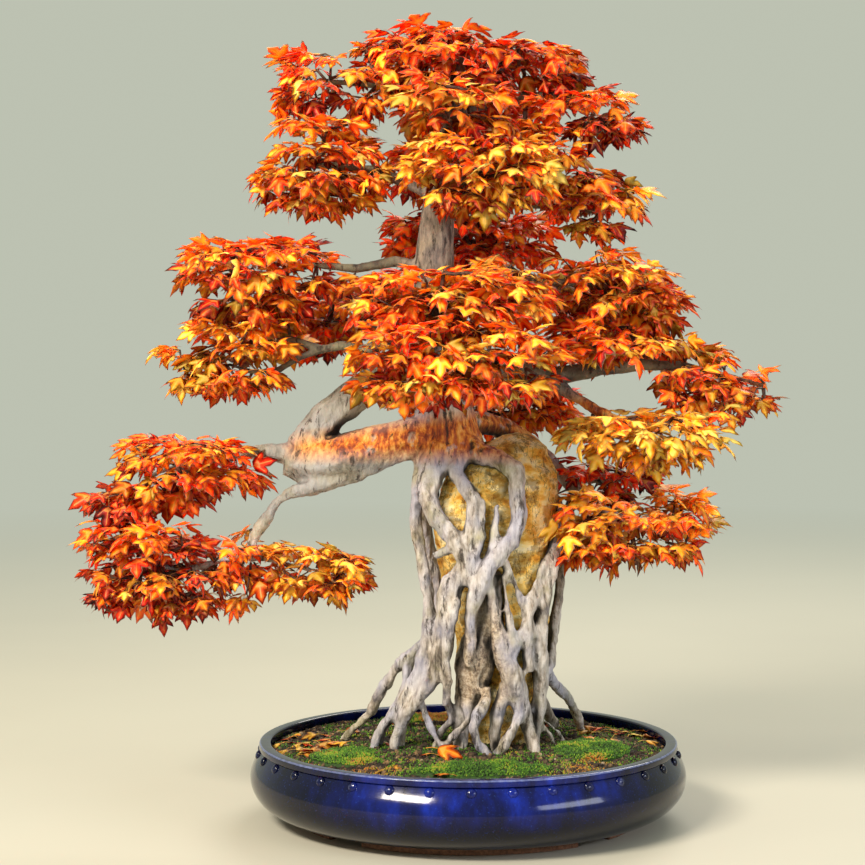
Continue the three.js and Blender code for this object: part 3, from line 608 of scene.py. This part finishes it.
def leaf_shape(fold, droop, side_droop, curl, skew):
    """One leaf: its corners, triangles and vein closeness. It grows along +Y, face up."""
    x, y = FLAT[:, 0] * (1 + skew * FLAT[:, 0]), FLAT[:, 1]
    height = fold * np.abs(x) - droop * y**2 - side_droop * x**2 + curl * np.sin(7 * x + 3 * y) * 0.04
    surface = np.stack([x, y + STALK, height], axis=1)
    lens = VEINED[:, None] * np.array([0, 0, BLADE_THICKNESS])
    rim = VEINED == 0
    upper = surface + lens
    lower = surface - lens
    inner = np.flatnonzero(~rim)
    below = np.arange(len(FLAT))
    below[inner] = len(FLAT) + np.arange(len(inner))
    corners = np.concatenate([upper, lower[inner]])
    triangles = np.concatenate([FLAT_TRIANGLES, below[FLAT_TRIANGLES][:, ::-1]])
    veined = np.concatenate([VEINED, VEINED[inner]])
    stalk, stalk_triangles = stalk_rings()
    whole, all_triangles = stacked([(corners, triangles), (stalk, stalk_triangles)])
    return whole, all_triangles, np.concatenate([veined, np.ones(len(stalk))])


LEAF_KINDS = 9
# The least and most of each kind's fold, droop, side droop, curl and skew.
LEAF_SPANS = [(-0.05, 0.4), (0.1, 0.55), (0.1, 0.7), (-1, 1), (-0.2, 0.2)]
LEAF_SHAPES = [leaf_shape(*(rng.uniform(*span) for span in LEAF_SPANS)) for _ in range(LEAF_KINDS)]


def leaves_mesh(name, places, ways, rolls, sizes, ripeness_and_shade, tone_and_shade):
    """Many leaves as one mesh: each starts at its place and grows along its way."""
    ways = unit(ways)
    across = np.cross(ways, [0.0, 0.0, 1.0])
    across /= np.maximum(np.linalg.norm(across, axis=1), 1e-6)[:, None]
    faces_up = np.cross(across, ways)
    cosine, sine = np.cos(rolls)[:, None], np.sin(rolls)[:, None]
    across, faces_up = across * cosine + faces_up * sine, faces_up * cosine - across * sine
    shapes, tints = [], []
    kinds = rng.integers(0, len(LEAF_SHAPES), len(places))
    for i, kind in enumerate(kinds):
        corners, triangles, veined = LEAF_SHAPES[kind]
        turn = np.stack([across[i], ways[i], faces_up[i]])
        shapes.append((corners * sizes[i] @ turn + places[i], triangles))
        tints.append(np.stack(np.broadcast_arrays(ripeness_and_shade[i], tone_and_shade[i], veined), axis=1))
    corners, triangles = stacked(shapes)
    mesh = mesh_of(name, corners, triangles)
    tint(mesh, np.concatenate(tints))
    return mesh


# How far each cloud of leaves has turned, from 0 for maroon to 1 for pale gold, and how much it varies.
TURNED = {
    "leaves_apex": (0.46, 0.16),
    "leaves_crown_left": (0.48, 0.15),
    "leaves_crown_right": (0.42, 0.13),
    "leaves_crown_front": (0.58, 0.18),
    "leaves_second_left": (0.62, 0.16),
    "leaves_second_front": (0.66, 0.16),
    "leaves_second_right": (0.58, 0.16),
    "leaves_left_upper": (0.56, 0.17),
    "leaves_front_upper": (0.62, 0.18),
    "leaves_right_middle": (0.61, 0.17),
    "leaves_left_middle": (0.67, 0.14),
    "leaves_front": (0.58, 0.19),
    "leaves_right_wide": (0.61, 0.15),
    "leaves_right_tip": (0.48, 0.14),
    "leaves_right_yellow": (0.83, 0.1),
    "leaves_right_low": (0.67, 0.13),
    "leaves_right_low_back": (0.26, 0.1),
    "leaves_left_outer": (0.53, 0.15),
    "leaves_left_low": (0.48, 0.15),
    "leaves_left_low_inner": (0.66, 0.14),
}
USUALLY_TURNED = (0.5, 0.14)
SHOOT_SPACING = 14 * MM
SHOOT_STEP = 14 * MM  # the length of each straight piece of a shoot
SHOOT_BOW = 0.12  # how far a shoot arches up, as a share of its length
TRIES = 14  # places tried for each shoot that there is room for
LEAVES_ON_SHOOT = 6
TIER_SPACING = 25 * MM  # between the level layers that a cloud of leaves grows in


def shoot_ends(node):
    """Places inside a cloud of leaves, spaced apart, where its shoots end."""
    corners, triangles = cad_shape(node)
    shell = BVHTree.FromPolygons(corners.tolist(), triangles.tolist())
    low, high = corners.min(0), corners.max(0)
    volume = float(np.prod(high - low))
    found = []
    for _ in range(int(volume / SHOOT_SPACING**3 * TRIES)):
        place = rng.uniform(low, high)
        roll = 14 * MM * noise.noise(Vector((place[0], place[1], 0)) / (55 * MM))
        layer = roll + TIER_SPACING * round((place[2] - roll) / TIER_SPACING)
        place[2] += 0.6 * (layer - place[2])
        near, normal, _, _ = shell.find_nearest(Vector(place))
        inset = (5 + 10 * (1 - abs(normal.z))) * MM
        if (Vector(place) - near).dot(normal) > -inset:
            continue
        if found and np.min(np.linalg.norm(np.array(found) - place, axis=1)) < SHOOT_SPACING:
            continue
        found.append(place)
    return np.array(found)


def grown_shoots(ends, roots):
    """Joins each end to the nearest wood or earlier shoot: places, parents and the ends' numbers."""
    places = list(roots)
    parents = [-1] * len(roots)
    numbers = []
    nearest_wood = [np.min(np.linalg.norm(roots - end, axis=1)) for end in ends]
    for index in np.argsort(nearest_wood):
        end = ends[index]
        apart = np.linalg.norm(np.array(places) - end, axis=1)
        parent = int(np.argmin(apart))
        gap = apart[parent]
        steps = max(1, int(round(gap / SHOOT_STEP)))
        start = places[parent]
        for step in range(1, steps + 1):
            share = step / steps
            bow = np.array([0, 0, SHOOT_BOW * gap * math.sin(math.pi * share)])
            jitter = rng.normal(0, 1.2 * MM, 3) * (step < steps)
            places.append(start + (end - start) * share + bow * (step < steps) + jitter)
            parents.append(parent)
            parent = len(places) - 1
        numbers.append(parent)
    return np.array(places), np.array(parents), np.array(numbers)


def shoot_tubes(places, parents, numbers):
    """Tapered five-sided tubes along the shoots, thicker where they carry more."""
    load = np.zeros(len(places))
    for number in numbers:
        while number >= 0:
            load[number] += 1
            number = parents[number]
    radius = np.clip(0.75 * load**0.42, 0.75, 3.2) * MM
    turns = np.arange(5) * 2 * math.pi / 5
    ring = np.stack([np.cos(turns), np.sin(turns)], axis=1)
    sides = [(s, (s + 1) % 5) for s in range(5)]
    triangles = [t for a, b in sides for t in ((a, b, a + 5), (b, b + 5, a + 5))]
    triangles += [(0, 2, 1), (0, 3, 2), (0, 4, 3), (5, 6, 7), (5, 7, 8), (5, 8, 9)]
    shapes = []
    for child in np.flatnonzero(parents >= 0):
        parent = parents[child]
        way = places[child] - places[parent]
        length = np.linalg.norm(way)
        way = way / max(length, 1e-9)
        across = np.cross(way, [0.31, 0.17, 0.93])
        across /= np.linalg.norm(across)
        other = np.cross(way, across)
        thick = radius[child] * 1.12 if parents[parent] >= 0 else radius[child] * 1.5
        rings = []
        lap = way * 0.4 * MM
        for place, size in ((places[parent] - lap, thick), (places[child] + lap, radius[child])):
            rings.append(place + size * (ring[:, :1] * across + ring[:, 1:] * other))
        shapes.append((np.concatenate(rings), triangles))
    return shapes


wood_places = np.concatenate([cad_shape(node)[0] for node in WOOD_NODES if node != "trunk_and_roots"])
shoot_shapes = []


def cloud_of_leaves(node):
    ends = shoot_ends(node)
    centre = ends.mean(0)
    reach = np.abs(ends - centre).max(0)
    near = wood_places[np.linalg.norm((wood_places - centre) / (reach + 60 * MM), axis=1) < 1]
    if len(near) < 5:
        near = wood_places[np.argsort(np.linalg.norm(wood_places - centre, axis=1))[:12]]
    places, parents, numbers = grown_shoots(ends, near)
    shoot_shapes.extend(shoot_tubes(places, parents, numbers))
    starts = places[np.repeat(numbers, LEAVES_ON_SHOOT)]
    count = len(starts)
    mean, spread = TURNED.get(node, USUALLY_TURNED)
    outward = (starts - centre) / reach
    height = outward[:, 2].copy()
    heading = np.arctan2(outward[:, 1], outward[:, 0]) + rng.normal(0, 0.95, count)
    droop = np.clip(rng.normal(0.2, 0.33, count) - 0.28 * height, -0.45, 1.2)
    ways = np.stack(
        [np.cos(heading) * np.cos(droop), np.sin(heading) * np.cos(droop), -np.sin(droop)], axis=1
    )
    sizes = LEAF_LENGTH * np.clip(rng.normal(0.92, 0.17, count), 0.55, 1.3)
    shell = np.clip(np.linalg.norm(outward, axis=1), 0, 1.4)
    clump = np.repeat(rng.normal(0, 0.6, len(numbers)), LEAVES_ON_SHOOT)
    drift = 1.1 * lumps(starts, 55 * MM, 12)
    # Painted light and shade: leaves inside a cloud and under it are painted redder and darker than those
    # on its top, which are painted brighter.
    ripeness_and_shade = mean + spread * (0.7 * clump + drift + rng.normal(0, 0.85, count))
    ripeness_and_shade -= 0.3 * np.clip(0.7 - shell, 0, 1) + 0.24 * np.clip(-height - 0.3, 0, 1)
    tone_and_shade = rng.normal(0.64, 0.22, count) + 0.2 * height - 0.9 * np.clip(0.74 - shell, 0, 1)
    tone_and_shade = np.clip(tone_and_shade, 0, 1)
    mesh = leaves_mesh(node, starts, ways, rng.normal(0, 0.42, count), sizes, ripeness_and_shade, tone_and_shade)
    placed(node.replace("leaves_", "foliage_"), mesh, [LEAF], [node])


for leaf_node in LEAF_NODES:
    cloud_of_leaves(leaf_node)
placed("leafy_shoots", mesh_of("leafy_shoots", *stacked(shoot_shapes)), [TWIG])


# ---- Pot ----
POT_SIDES = 192
BELLY_HEIGHT = 45 * MM
FOOT_RADIUS = 172 * MM
FOOT_WIDTH = 22 * MM
FOOT_HEIGHT = 7 * MM
PAD_RADIUS = 30 * MM
RIM_RADIUS = 211 * MM
LIP_WIDTH = 12 * MM
LIP_HEIGHT = 7 * MM
LIP_UNDERCUT = 2.5 * MM
WALL = 9 * MM
FLOOR = 10 * MM
STUDS = 34
STUD_RADIUS = 5 * MM
STUD_HEIGHT = POT_HEIGHT - 12 * MM
STUD_RISE = 3 * MM
DRAINS = [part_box(f"drainage_screen_{i + 1}") for i in range(3)]
DRAIN_RADIUS = 15 * MM
STUD_LEAN = math.radians(68)  # from upright, as the shoulder faces
BARE_BELOW = FOOT_HEIGHT + 2.5 * MM  # the foot is left without glaze
NOTCHES = 4
NOTCH_WIDTH = 46 * MM
ARC_STEPS = 4  # flats in each rounded corner of the profile


def wall_radius(z):
    if z < BELLY_HEIGHT:
        below = (BELLY_HEIGHT - z) / (BELLY_HEIGHT - FOOT_HEIGHT)
        return FOOT_RADIUS + (POT_RADIUS - FOOT_RADIUS) * math.sqrt(max(0.0, 1 - below * below))
    above = min((z - BELLY_HEIGHT) / (POT_HEIGHT - LIP_HEIGHT - BELLY_HEIGHT), 1)
    neck = RIM_RADIUS - LIP_UNDERCUT
    return neck + (POT_RADIUS - neck) * math.cos(above * math.pi / 2)


def rounded(corner, before, after, radius):
    """A corner of a profile, turned into an arc."""
    corner, before, after = Vector(corner), Vector(before), Vector(after)
    start = corner + (before - corner).normalized() * radius
    end = corner + (after - corner).normalized() * radius
    shares = [i / ARC_STEPS for i in range(ARC_STEPS + 1)]
    return [tuple(start * (1 - s) ** 2 + corner * 2 * s * (1 - s) + end * s**2) for s in shares]


def softened(profile, radii):
    """A profile whose named corners are arcs: radii maps a corner's number to its radius."""
    made = []
    for i, corner in enumerate(profile):
        if i in radii:
            made += rounded(corner, profile[i - 1], profile[i + 1], radii[i])
        else:
            made.append(tuple(corner))
    return made


def turned_shape(profile, sides):
    """A solid turned about the pot's axis. Its profile starts and ends on the axis."""
    inner = profile[1:-1]
    angles = np.arange(sides) * 2 * math.pi / sides
    way = np.stack([np.cos(angles), np.sin(angles), np.zeros(sides)], axis=1)
    rings = [r * way + [0, 0, z] for r, z in inner]
    corners = np.concatenate(rings + [np.array([[0, 0, profile[0][1]], [0, 0, profile[-1][1]]])])
    here = np.arange(sides)
    after = (here + 1) % sides
    triangles = []
    for ring in range(len(inner) - 1):
        a, b = ring * sides + here, ring * sides + after
        triangles += [np.stack([a, b, a + sides], axis=1), np.stack([b, b + sides, a + sides], axis=1)]
    bottom, top = len(corners) - 2, len(corners) - 1
    last = (len(inner) - 1) * sides
    triangles.append(np.stack([np.full(sides, bottom), after, here], axis=1))
    triangles.append(np.stack([np.full(sides, top), last + here, last + after], axis=1))
    return corners, np.concatenate(triangles)


def pot_profile():
    bowl_steps, shoulder_steps = 22, 12
    rise = BELLY_HEIGHT - FOOT_HEIGHT
    bowl = [FOOT_HEIGHT + rise * (i / bowl_steps) ** 1.7 for i in range(bowl_steps + 1)]
    rise = POT_HEIGHT - LIP_HEIGHT - BELLY_HEIGHT
    shoulder = [BELLY_HEIGHT + rise * i / shoulder_steps for i in range(1, shoulder_steps + 1)]
    outside = [(wall_radius(z), z) for z in bowl + shoulder]
    inside = [(r - WALL, z) for r, z in outside if z > FOOT_HEIGHT + FLOOR + WALL / 2]
    ring_inside = FOOT_RADIUS - FOOT_WIDTH
    lip = [
        (RIM_RADIUS, POT_HEIGHT - LIP_HEIGHT), (RIM_RADIUS, POT_HEIGHT),
        (RIM_RADIUS - LIP_WIDTH, POT_HEIGHT),
    ]
    foot = [
        (0, 0), (PAD_RADIUS, 0), (PAD_RADIUS, FOOT_HEIGHT), (ring_inside, FOOT_HEIGHT), (ring_inside, 0),
        (FOOT_RADIUS, 0),
    ]
    floor_top = FOOT_HEIGHT + FLOOR
    floor_line = [(inside[0][0] - WALL, floor_top), (0, floor_top)]
    under = len(foot) + len(outside)  # the corner under the lip, with the lip's other two after it
    radii = {1: 1.5 * MM, 4: 2 * MM, 5: 2 * MM, under: MM, under + 1: 2.4 * MM, under + 2: 2 * MM}
    return softened(foot + outside + lip + inside[::-1] + floor_line, radii)


def box_shape(low, high):
    xs, ys, zs = zip(low, high)
    corners = np.array([[x, y, z] for x in xs for y in ys for z in zs])
    sides = [(0, 1, 3, 2), (4, 6, 7, 5), (0, 4, 5, 1), (2, 3, 7, 6), (0, 2, 6, 4), (1, 5, 7, 3)]
    return corners, [t for a, b, c, d in sides for t in ((a, b, c), (a, c, d))]


def domed_stud(angle):
    """A nail-head stud on the shoulder, with a flattened dome."""
    profile = [(STUD_RADIUS * math.sin(a), STUD_RISE * math.cos(a)) for a in np.linspace(0, math.pi, 12)]
    profile[0], profile[-1] = (0, profile[0][1]), (0, profile[-1][1])
    corners, triangles = turned_shape(profile[::-1], 20)
    lean = Matrix.Rotation(STUD_LEAN, 3, "Y")
    around = Matrix.Rotation(angle, 3, "Z")
    centre = around @ Vector((wall_radius(STUD_HEIGHT), 0, STUD_HEIGHT))
    return corners @ np.array(around @ lean).T + np.array(centre), triangles


def cut(mesh, cutters):
    """The mesh with holes cut by closed shapes."""
    body = linked("cut_body", mesh)
    tool = linked("cut_tool", mesh_of("cut_tool", *stacked(cutters)))
    boolean = body.modifiers.new("cut", "BOOLEAN")
    boolean.object = tool
    boolean.operation = "DIFFERENCE"
    boolean.solver = "EXACT"
    boolean.use_self = True
    graph = bpy.context.evaluated_depsgraph_get()
    made = bpy.data.meshes.new_from_object(body.evaluated_get(graph))
    for used in (body, tool):
        bpy.data.objects.remove(used)
    return made


def turned_cutter(x, y, radius, low, high):
    corners, triangles = turned_shape([(0, low), (radius, low), (radius, high), (0, high)], 32)
    return corners + np.array([x, y, 0]), triangles


def notch_cutter(angle):
    low = (FOOT_RADIUS - 2 * FOOT_WIDTH, -NOTCH_WIDTH / 2, -MM)
    high = (FOOT_RADIUS + FOOT_WIDTH, NOTCH_WIDTH / 2, FOOT_HEIGHT - 0.5 * MM)
    corners, triangles = box_shape(low, high)
    return corners @ np.array(Matrix.Rotation(angle, 3, "Z")).T, triangles


def build_pot():
    bowl = mesh_of("pot", *turned_shape(pot_profile(), POT_SIDES))
    drains = [((low + high) / 2) for low, high in DRAINS]
    cutters = [turned_cutter(d.x, d.y, DRAIN_RADIUS, 2 * MM, 20 * MM) for d in drains]
    cutters += [notch_cutter(math.pi / 4 + i * 2 * math.pi / NOTCHES) for i in range(NOTCHES)]
    bowl = cut(bowl, cutters)
    first_stud = -math.pi / 2
    studs = [domed_stud(first_stud + i * 2 * math.pi / STUDS) for i in range(STUDS)]
    bowl_corners = corners_of(bowl)
    corners, triangles = stacked([(bowl_corners, triangles_of(bowl))] + studs)
    mesh = mesh_of("glazed_pot", corners, triangles)
    on_stud = np.arange(len(corners)) >= len(bowl_corners)
    radius = np.linalg.norm(corners[:, :2], axis=1)
    lip_edge = (corners[:, 2] > POT_HEIGHT - 1.7 * MM) & (radius > RIM_RADIUS - 1.4 * MM)
    under_lip = np.abs(corners[:, 2] - (POT_HEIGHT - LIP_HEIGHT)) < 1 * MM
    stud_top_highlight = on_stud & (radius > wall_radius(STUD_HEIGHT) + 1.2 * MM)
    # Pale glaze along the lip's edges; the studs' tops get a painted highlight.
    measured(mesh, lip_edge * 0.95 + under_lip * 0.15 + stud_top_highlight * 0.45, "edge")
    placed("glazed_drum_pot", mesh, [GLAZE, CLAY], ["pot"])
    for face in mesh.polygons:
        if face.center.z < BARE_BELOW:
            face.material_index = 1
    mesh.set_sharp_from_angle(angle=math.radians(42))


build_pot()
for number in (1, 2, 3):
    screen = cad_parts[f"drainage_screen_{number}"]
    screen.data.materials.clear()
    screen.data.materials.append(NETTING)


# ---- Soil, grit, moss and litter ----
SOIL_FALL = 9 * MM  # the soil's edge below its middle
SOIL_EDGE = wall_radius(SOIL_TOP - SOIL_FALL) - WALL - 0.3 * MM
SOIL_CROWN = 0.6  # the nearly level middle, as a share of the radius
SOIL_RINGS, SOIL_SIDES = 84, 260
GRAINS_OF_GRIT = 5200
CUSHION_SHOOTS = 3200
CUSHION_TINT = 0.16  # of the moss under the shoots, in the shade
LOOSE_SHOOTS = 17000


def soil_height(x, y):
    distance = math.hypot(x, y)
    crown = SOIL_EDGE * SOIL_CROWN
    if distance < crown:
        fall = 0.3 * SOIL_FALL * distance / crown
    else:
        fall = SOIL_FALL * (0.3 + 0.7 * (distance - crown) / (SOIL_EDGE - crown))
    rise = 2.6 * MM * noise.noise(Vector((x, y, 0.3)) / (26 * MM))
    rise += 0.9 * MM * noise.noise(Vector((x, y, 0.7)) / (7 * MM))
    return SOIL_TOP - fall + rise * min(1, (SOIL_EDGE - distance) / (12 * MM) + 0.25)


def build_soil():
    bottom = soil_low.z
    profile = [(0, bottom), (SOIL_EDGE - 26 * MM, bottom), (SOIL_EDGE + 3 * MM, bottom + 18 * MM)]
    profile += [(SOIL_EDGE * (1 - i / SOIL_RINGS), SOIL_TOP) for i in range(SOIL_RINGS)] + [(0, SOIL_TOP)]
    corners, triangles = turned_shape(profile, SOIL_SIDES)
    top = corners[:, 2] > SOIL_TOP - MM
    corners[top, 2] = [soil_height(x, y) for x, y in corners[top, :2]]
    placed("potting_soil", mesh_of("potting_soil", corners, triangles), [SOIL], ["soil"])


def scattered(count):
    """Places on the soil, spread evenly by area."""
    distance = np.sqrt(rng.uniform(0, (SOIL_EDGE - 3 * MM) ** 2, count))
    angle = rng.uniform(0, 2 * math.pi, count)
    return np.stack([distance * np.cos(angle), distance * np.sin(angle)], axis=1)


def pebble():
    made = bmesh.new()
    bmesh.ops.create_icosphere(made, subdivisions=1, radius=1)
    corners = np.array([v.co for v in made.verts])
    triangles = np.array([[v.index for v in f.verts] for f in made.faces])
    made.free()
    return corners, triangles


def build_grit():
    corners, triangles = pebble()
    shapes, tints = [], []
    for x, y in scattered(GRAINS_OF_GRIT):
        size = abs(rng.normal(1.5, 0.5)) * MM + 0.5 * MM
        turn = np.array(Matrix.Rotation(rng.uniform(0, 6.3), 3, Vector(rng.normal(size=3))))
        squashed = corners * rng.uniform(0.65, 1.2, 3) * size
        squashed *= 1 + 0.12 * rng.normal(size=(len(corners), 1))
        shapes.append((squashed @ turn + [x, y, soil_height(x, y) + 0.25 * size], triangles))
        tints.append(np.full(len(corners), np.clip(rng.normal(0.36, 0.24), 0, 1)))
    mesh = mesh_of("soil_grit", *stacked(shapes), smooth=False)
    tint(mesh, np.concatenate(tints))
    placed("soil_grit", mesh, [GRIT])


def moss_shoot():
    """One small leafy shoot: a four-sided spindle, widest a third of the way up."""
    ring = [(math.cos(a), math.sin(a), 0.35) for a in (0.4, 1.97, 3.54, 5.11)]
    corners = np.array([(0, 0, -0.4)] + ring + [(0, 0, 1)])
    sides = [(i + 1, (i + 1) % 4 + 1) for i in range(4)]
    return corners, np.array([(0, b, a) for a, b in sides] + [(5, a, b) for a, b in sides])


def moss_mesh(name, places, normals, golden):
    corners, triangles = moss_shoot()
    shapes, tints = [], []
    for place, normal, gold in zip(places, normals, golden):
        height = rng.uniform(1.2, 3.4) * MM
        wide = rng.uniform(0.5, 0.95) * MM
        up = Vector(normal) + Vector(rng.normal(0, 0.32, 3))
        turn = np.array(up.to_track_quat("Z", "Y").to_matrix())
        shapes.append((corners * [wide, wide, height] @ turn.T + place, triangles))
        lush = 0.16 * noise.noise(Vector((place[0], place[1], 2.0)) / (18 * MM))
        own = 0.38 + lush + 0.12 * rng.normal() + 0.56 * gold
        tints.append(np.clip(own + np.array([-0.3, -0.1, -0.1, -0.1, -0.1, 0.08]), 0, 1))
    made = mesh_of(name, *stacked(shapes))
    tint(made, np.concatenate(tints))
    return made


# Where the moss has dried to gold: x, y and how far it reaches.
GOLDEN_SPOTS = [(-0.105, -0.13, 0.045), (0.115, -0.115, 0.036), (-0.02, 0.14, 0.04)]


def patchiness(x, y):
    """How far the moss has dried to gold, from 0 to 1."""
    near = max(math.exp(-(((x - sx) ** 2 + (y - sy) ** 2) / reach**2)) for sx, sy, reach in GOLDEN_SPOTS)
    uneven = noise.noise(Vector((x, y, 5.0)) / (24 * MM))
    return min(1, max(0, 1.3 * near + 0.8 * uneven))


def build_moss_cushion(node):
    corners, triangles = cad_shape(node)
    cushion = skin_over(node, [(corners, triangles)], 2.2 * MM, 3)
    places = corners_of(cushion)
    upright = normals_of(cushion)[:, 2]
    rolls = 3.2 * lumps(places, 24 * MM, 9) + 1.6 * lumps(places, 9 * MM, 8) - 2.6
    places[:, 2] += np.where(upright > 0, upright * rolls, -8) * MM
    corners, triangles = places, triangles_of(cushion)
    edges = corners[triangles]
    normals = np.cross(edges[:, 1] - edges[:, 0], edges[:, 2] - edges[:, 0])
    areas = np.linalg.norm(normals, axis=1)
    upward = normals[:, 2] > 0.15 * areas
    chosen = rng.choice(np.flatnonzero(upward), CUSHION_SHOOTS, p=areas[upward] / areas[upward].sum())
    a, b = rng.uniform(size=(2, CUSHION_SHOOTS, 1))
    flip = (a + b) > 1
    a, b = np.where(flip, 1 - a, a), np.where(flip, 1 - b, b)
    first, second, third = edges[chosen].transpose(1, 0, 2)
    spots = first + a * (second - first) + b * (third - first)
    ways = normals[chosen] / areas[chosen][:, None]
    gold = [patchiness(x, y) for x, y in spots[:, :2]]
    shoots = moss_mesh(node, spots, ways, gold)
    both = mesh_of(node, *stacked([(corners, triangles), (corners_of(shoots), triangles_of(shoots))]))
    own = rows_of(shoots.color_attributes["tint"].data, "color", 4)[:, 0]
    tint(both, np.concatenate([np.full(len(corners), CUSHION_TINT), own]))
    placed(node.replace("moss_", "moss_cushion_"), both, [MOSS], [node])


def build_loose_moss():
    """Short moss in drifts between the cushions."""
    spots = scattered(2 * LOOSE_SHOOTS)
    kept = [(x, y) for x, y in spots if noise.noise(Vector((x, y, 9.0)) / (30 * MM)) > -0.18][:LOOSE_SHOOTS]
    places = np.array([[x, y, soil_height(x, y)] for x, y in kept])
    ways = np.tile([0.0, 0.0, 1.0], (len(places), 1))
    gold = [patchiness(x, y) for x, y in kept]
    placed("moss_drifts", moss_mesh("moss_drifts", places, ways, gold), [MOSS])


FRESH_LEAF_LENGTH = 1.25 * LEAF_LENGTH  # of the named fallen leaves
# Where fallen leaves have gathered: the middle of the drift, how many, and how widely they lie.
LEAF_DRIFTS = [
    ((-0.165, 0.0), 34, 0.028), ((0.155, 0.075), 28, 0.035), ((-0.06, -0.1), 7, 0.04),
    ((0.0, 0.16), 16, 0.05),
]


def build_litter():
    """The fallen leaves by the roots and the rim, with smaller ones scattered round them."""
    named = [sum(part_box(node), Vector()) / 2 for node in FALLEN_NODES]
    spots = [(p.x, p.y) for p in named]
    for (x, y), count, spread in LEAF_DRIFTS:
        spots += [(x + dx, y + dy) for dx, dy in rng.normal(0, spread, (count, 2))]
    spots = [(x, y) for x, y in spots if math.hypot(x, y) < SOIL_EDGE - 12 * MM]
    count = len(spots)
    places = np.array([[x, y, soil_height(x, y) + 4 * MM] for x, y in spots])
    heading = rng.uniform(0, 2 * math.pi, count)
    ways = np.stack([np.cos(heading), np.sin(heading), rng.normal(0.0, 0.1, count)], axis=1)
    sizes = LEAF_LENGTH * rng.uniform(0.6, 0.95, count)
    sizes[: len(named)] = FRESH_LEAF_LENGTH
    ripeness_and_shade = rng.normal(0.6, 0.16, count)
    tone_and_shade = rng.uniform(0.05, 0.42, count)
    rolls = rng.normal(0, 0.25, count)
    # The first, by the roots in front, is fresh and lies tilted on the moss with its face to the front.
    ways[0], rolls[0], ripeness_and_shade[0], tone_and_shade[0] = (0.9, -0.4, 0.05), -0.5, 0.52, 0.55
    places[0, 2] += 6 * MM
    mesh = leaves_mesh("fallen_leaves", places, ways, rolls, sizes, ripeness_and_shade, tone_and_shade)
    placed("fallen_leaves", mesh, [LEAF], FALLEN_NODES)


build_soil()
build_grit()
for moss_node in MOSS_NODES:
    build_moss_cushion(moss_node)
build_loose_moss()
build_litter()

# ---- Studio ----
AIR_COLOUR = "#CBD0BF"
AIR_STRENGTH = 0.85
floor_finish, floor_tree, floor_shader = finish_of("studio_floor", Roughness=0.7)
floor_grain = grains(floor_tree, 0.4, 2)
floor_colour = add(floor_tree, "Mix", floor_grain, "#C2BEAF", "#BAB6A8", data_type="RGBA")
floor_tree.links.new(floor_colour, floor_shader.inputs["Base Color"])
# Away from the pot the floor runs out into the colour of the air round it.
floor_place = add(floor_tree, "TexCoord", out="Object")
floor_radius = add(floor_tree, "VectorMath", floor_place, out="Value", operation="LENGTH")
far_off = add(floor_tree, "MapRange", floor_radius, 1.0, 3.4)
far_floor = add(floor_tree, "Emission", AIR_COLOUR, AIR_STRENGTH)
floor_mix = add(floor_tree, "MixShader", far_off, floor_shader.outputs[0], far_floor)
floor_tree.links.new(floor_mix, floor_tree.nodes["Material Output"].inputs[0])
floor = linked("studio_floor", mesh_of("studio_floor", *box_shape((-9, -9, -0.05), (9, 9, 0)), False))
floor.data.materials.append(floor_finish)


def softbox(name, place, aim, size, power, colour):
    lamp = bpy.data.lights.new(name, "AREA")
    lamp.shape = "RECTANGLE"
    lamp.size, lamp.size_y = size
    lamp.energy = power
    lamp.color = linear(colour)[:3]
    made = linked(name, lamp)
    made.location = place
    made.rotation_euler = turned_towards(place, aim)


softbox("key_light", (-1.5, -2.0, 2.1), (0, 0, 0.4), (1.3, 0.5), 140, "#FFF4E2")
softbox("fill_light", (2.2, -1.6, 1.0), (0, 0, 0.35), (1.8, 0.6), 30, "#EAF0FF")
softbox("back_light", (0.8, 2.2, 2.0), (0, 0, 0.45), (1.6, 0.8), 40, "#FFF8EE")
world = bpy.data.worlds.new("studio")
world.use_nodes = True
world.node_tree.nodes["Background"].inputs[0].default_value = linear(AIR_COLOUR)
world.node_tree.nodes["Background"].inputs[1].default_value = AIR_STRENGTH
scene.world = world
scene.view_settings.view_transform = "Standard"
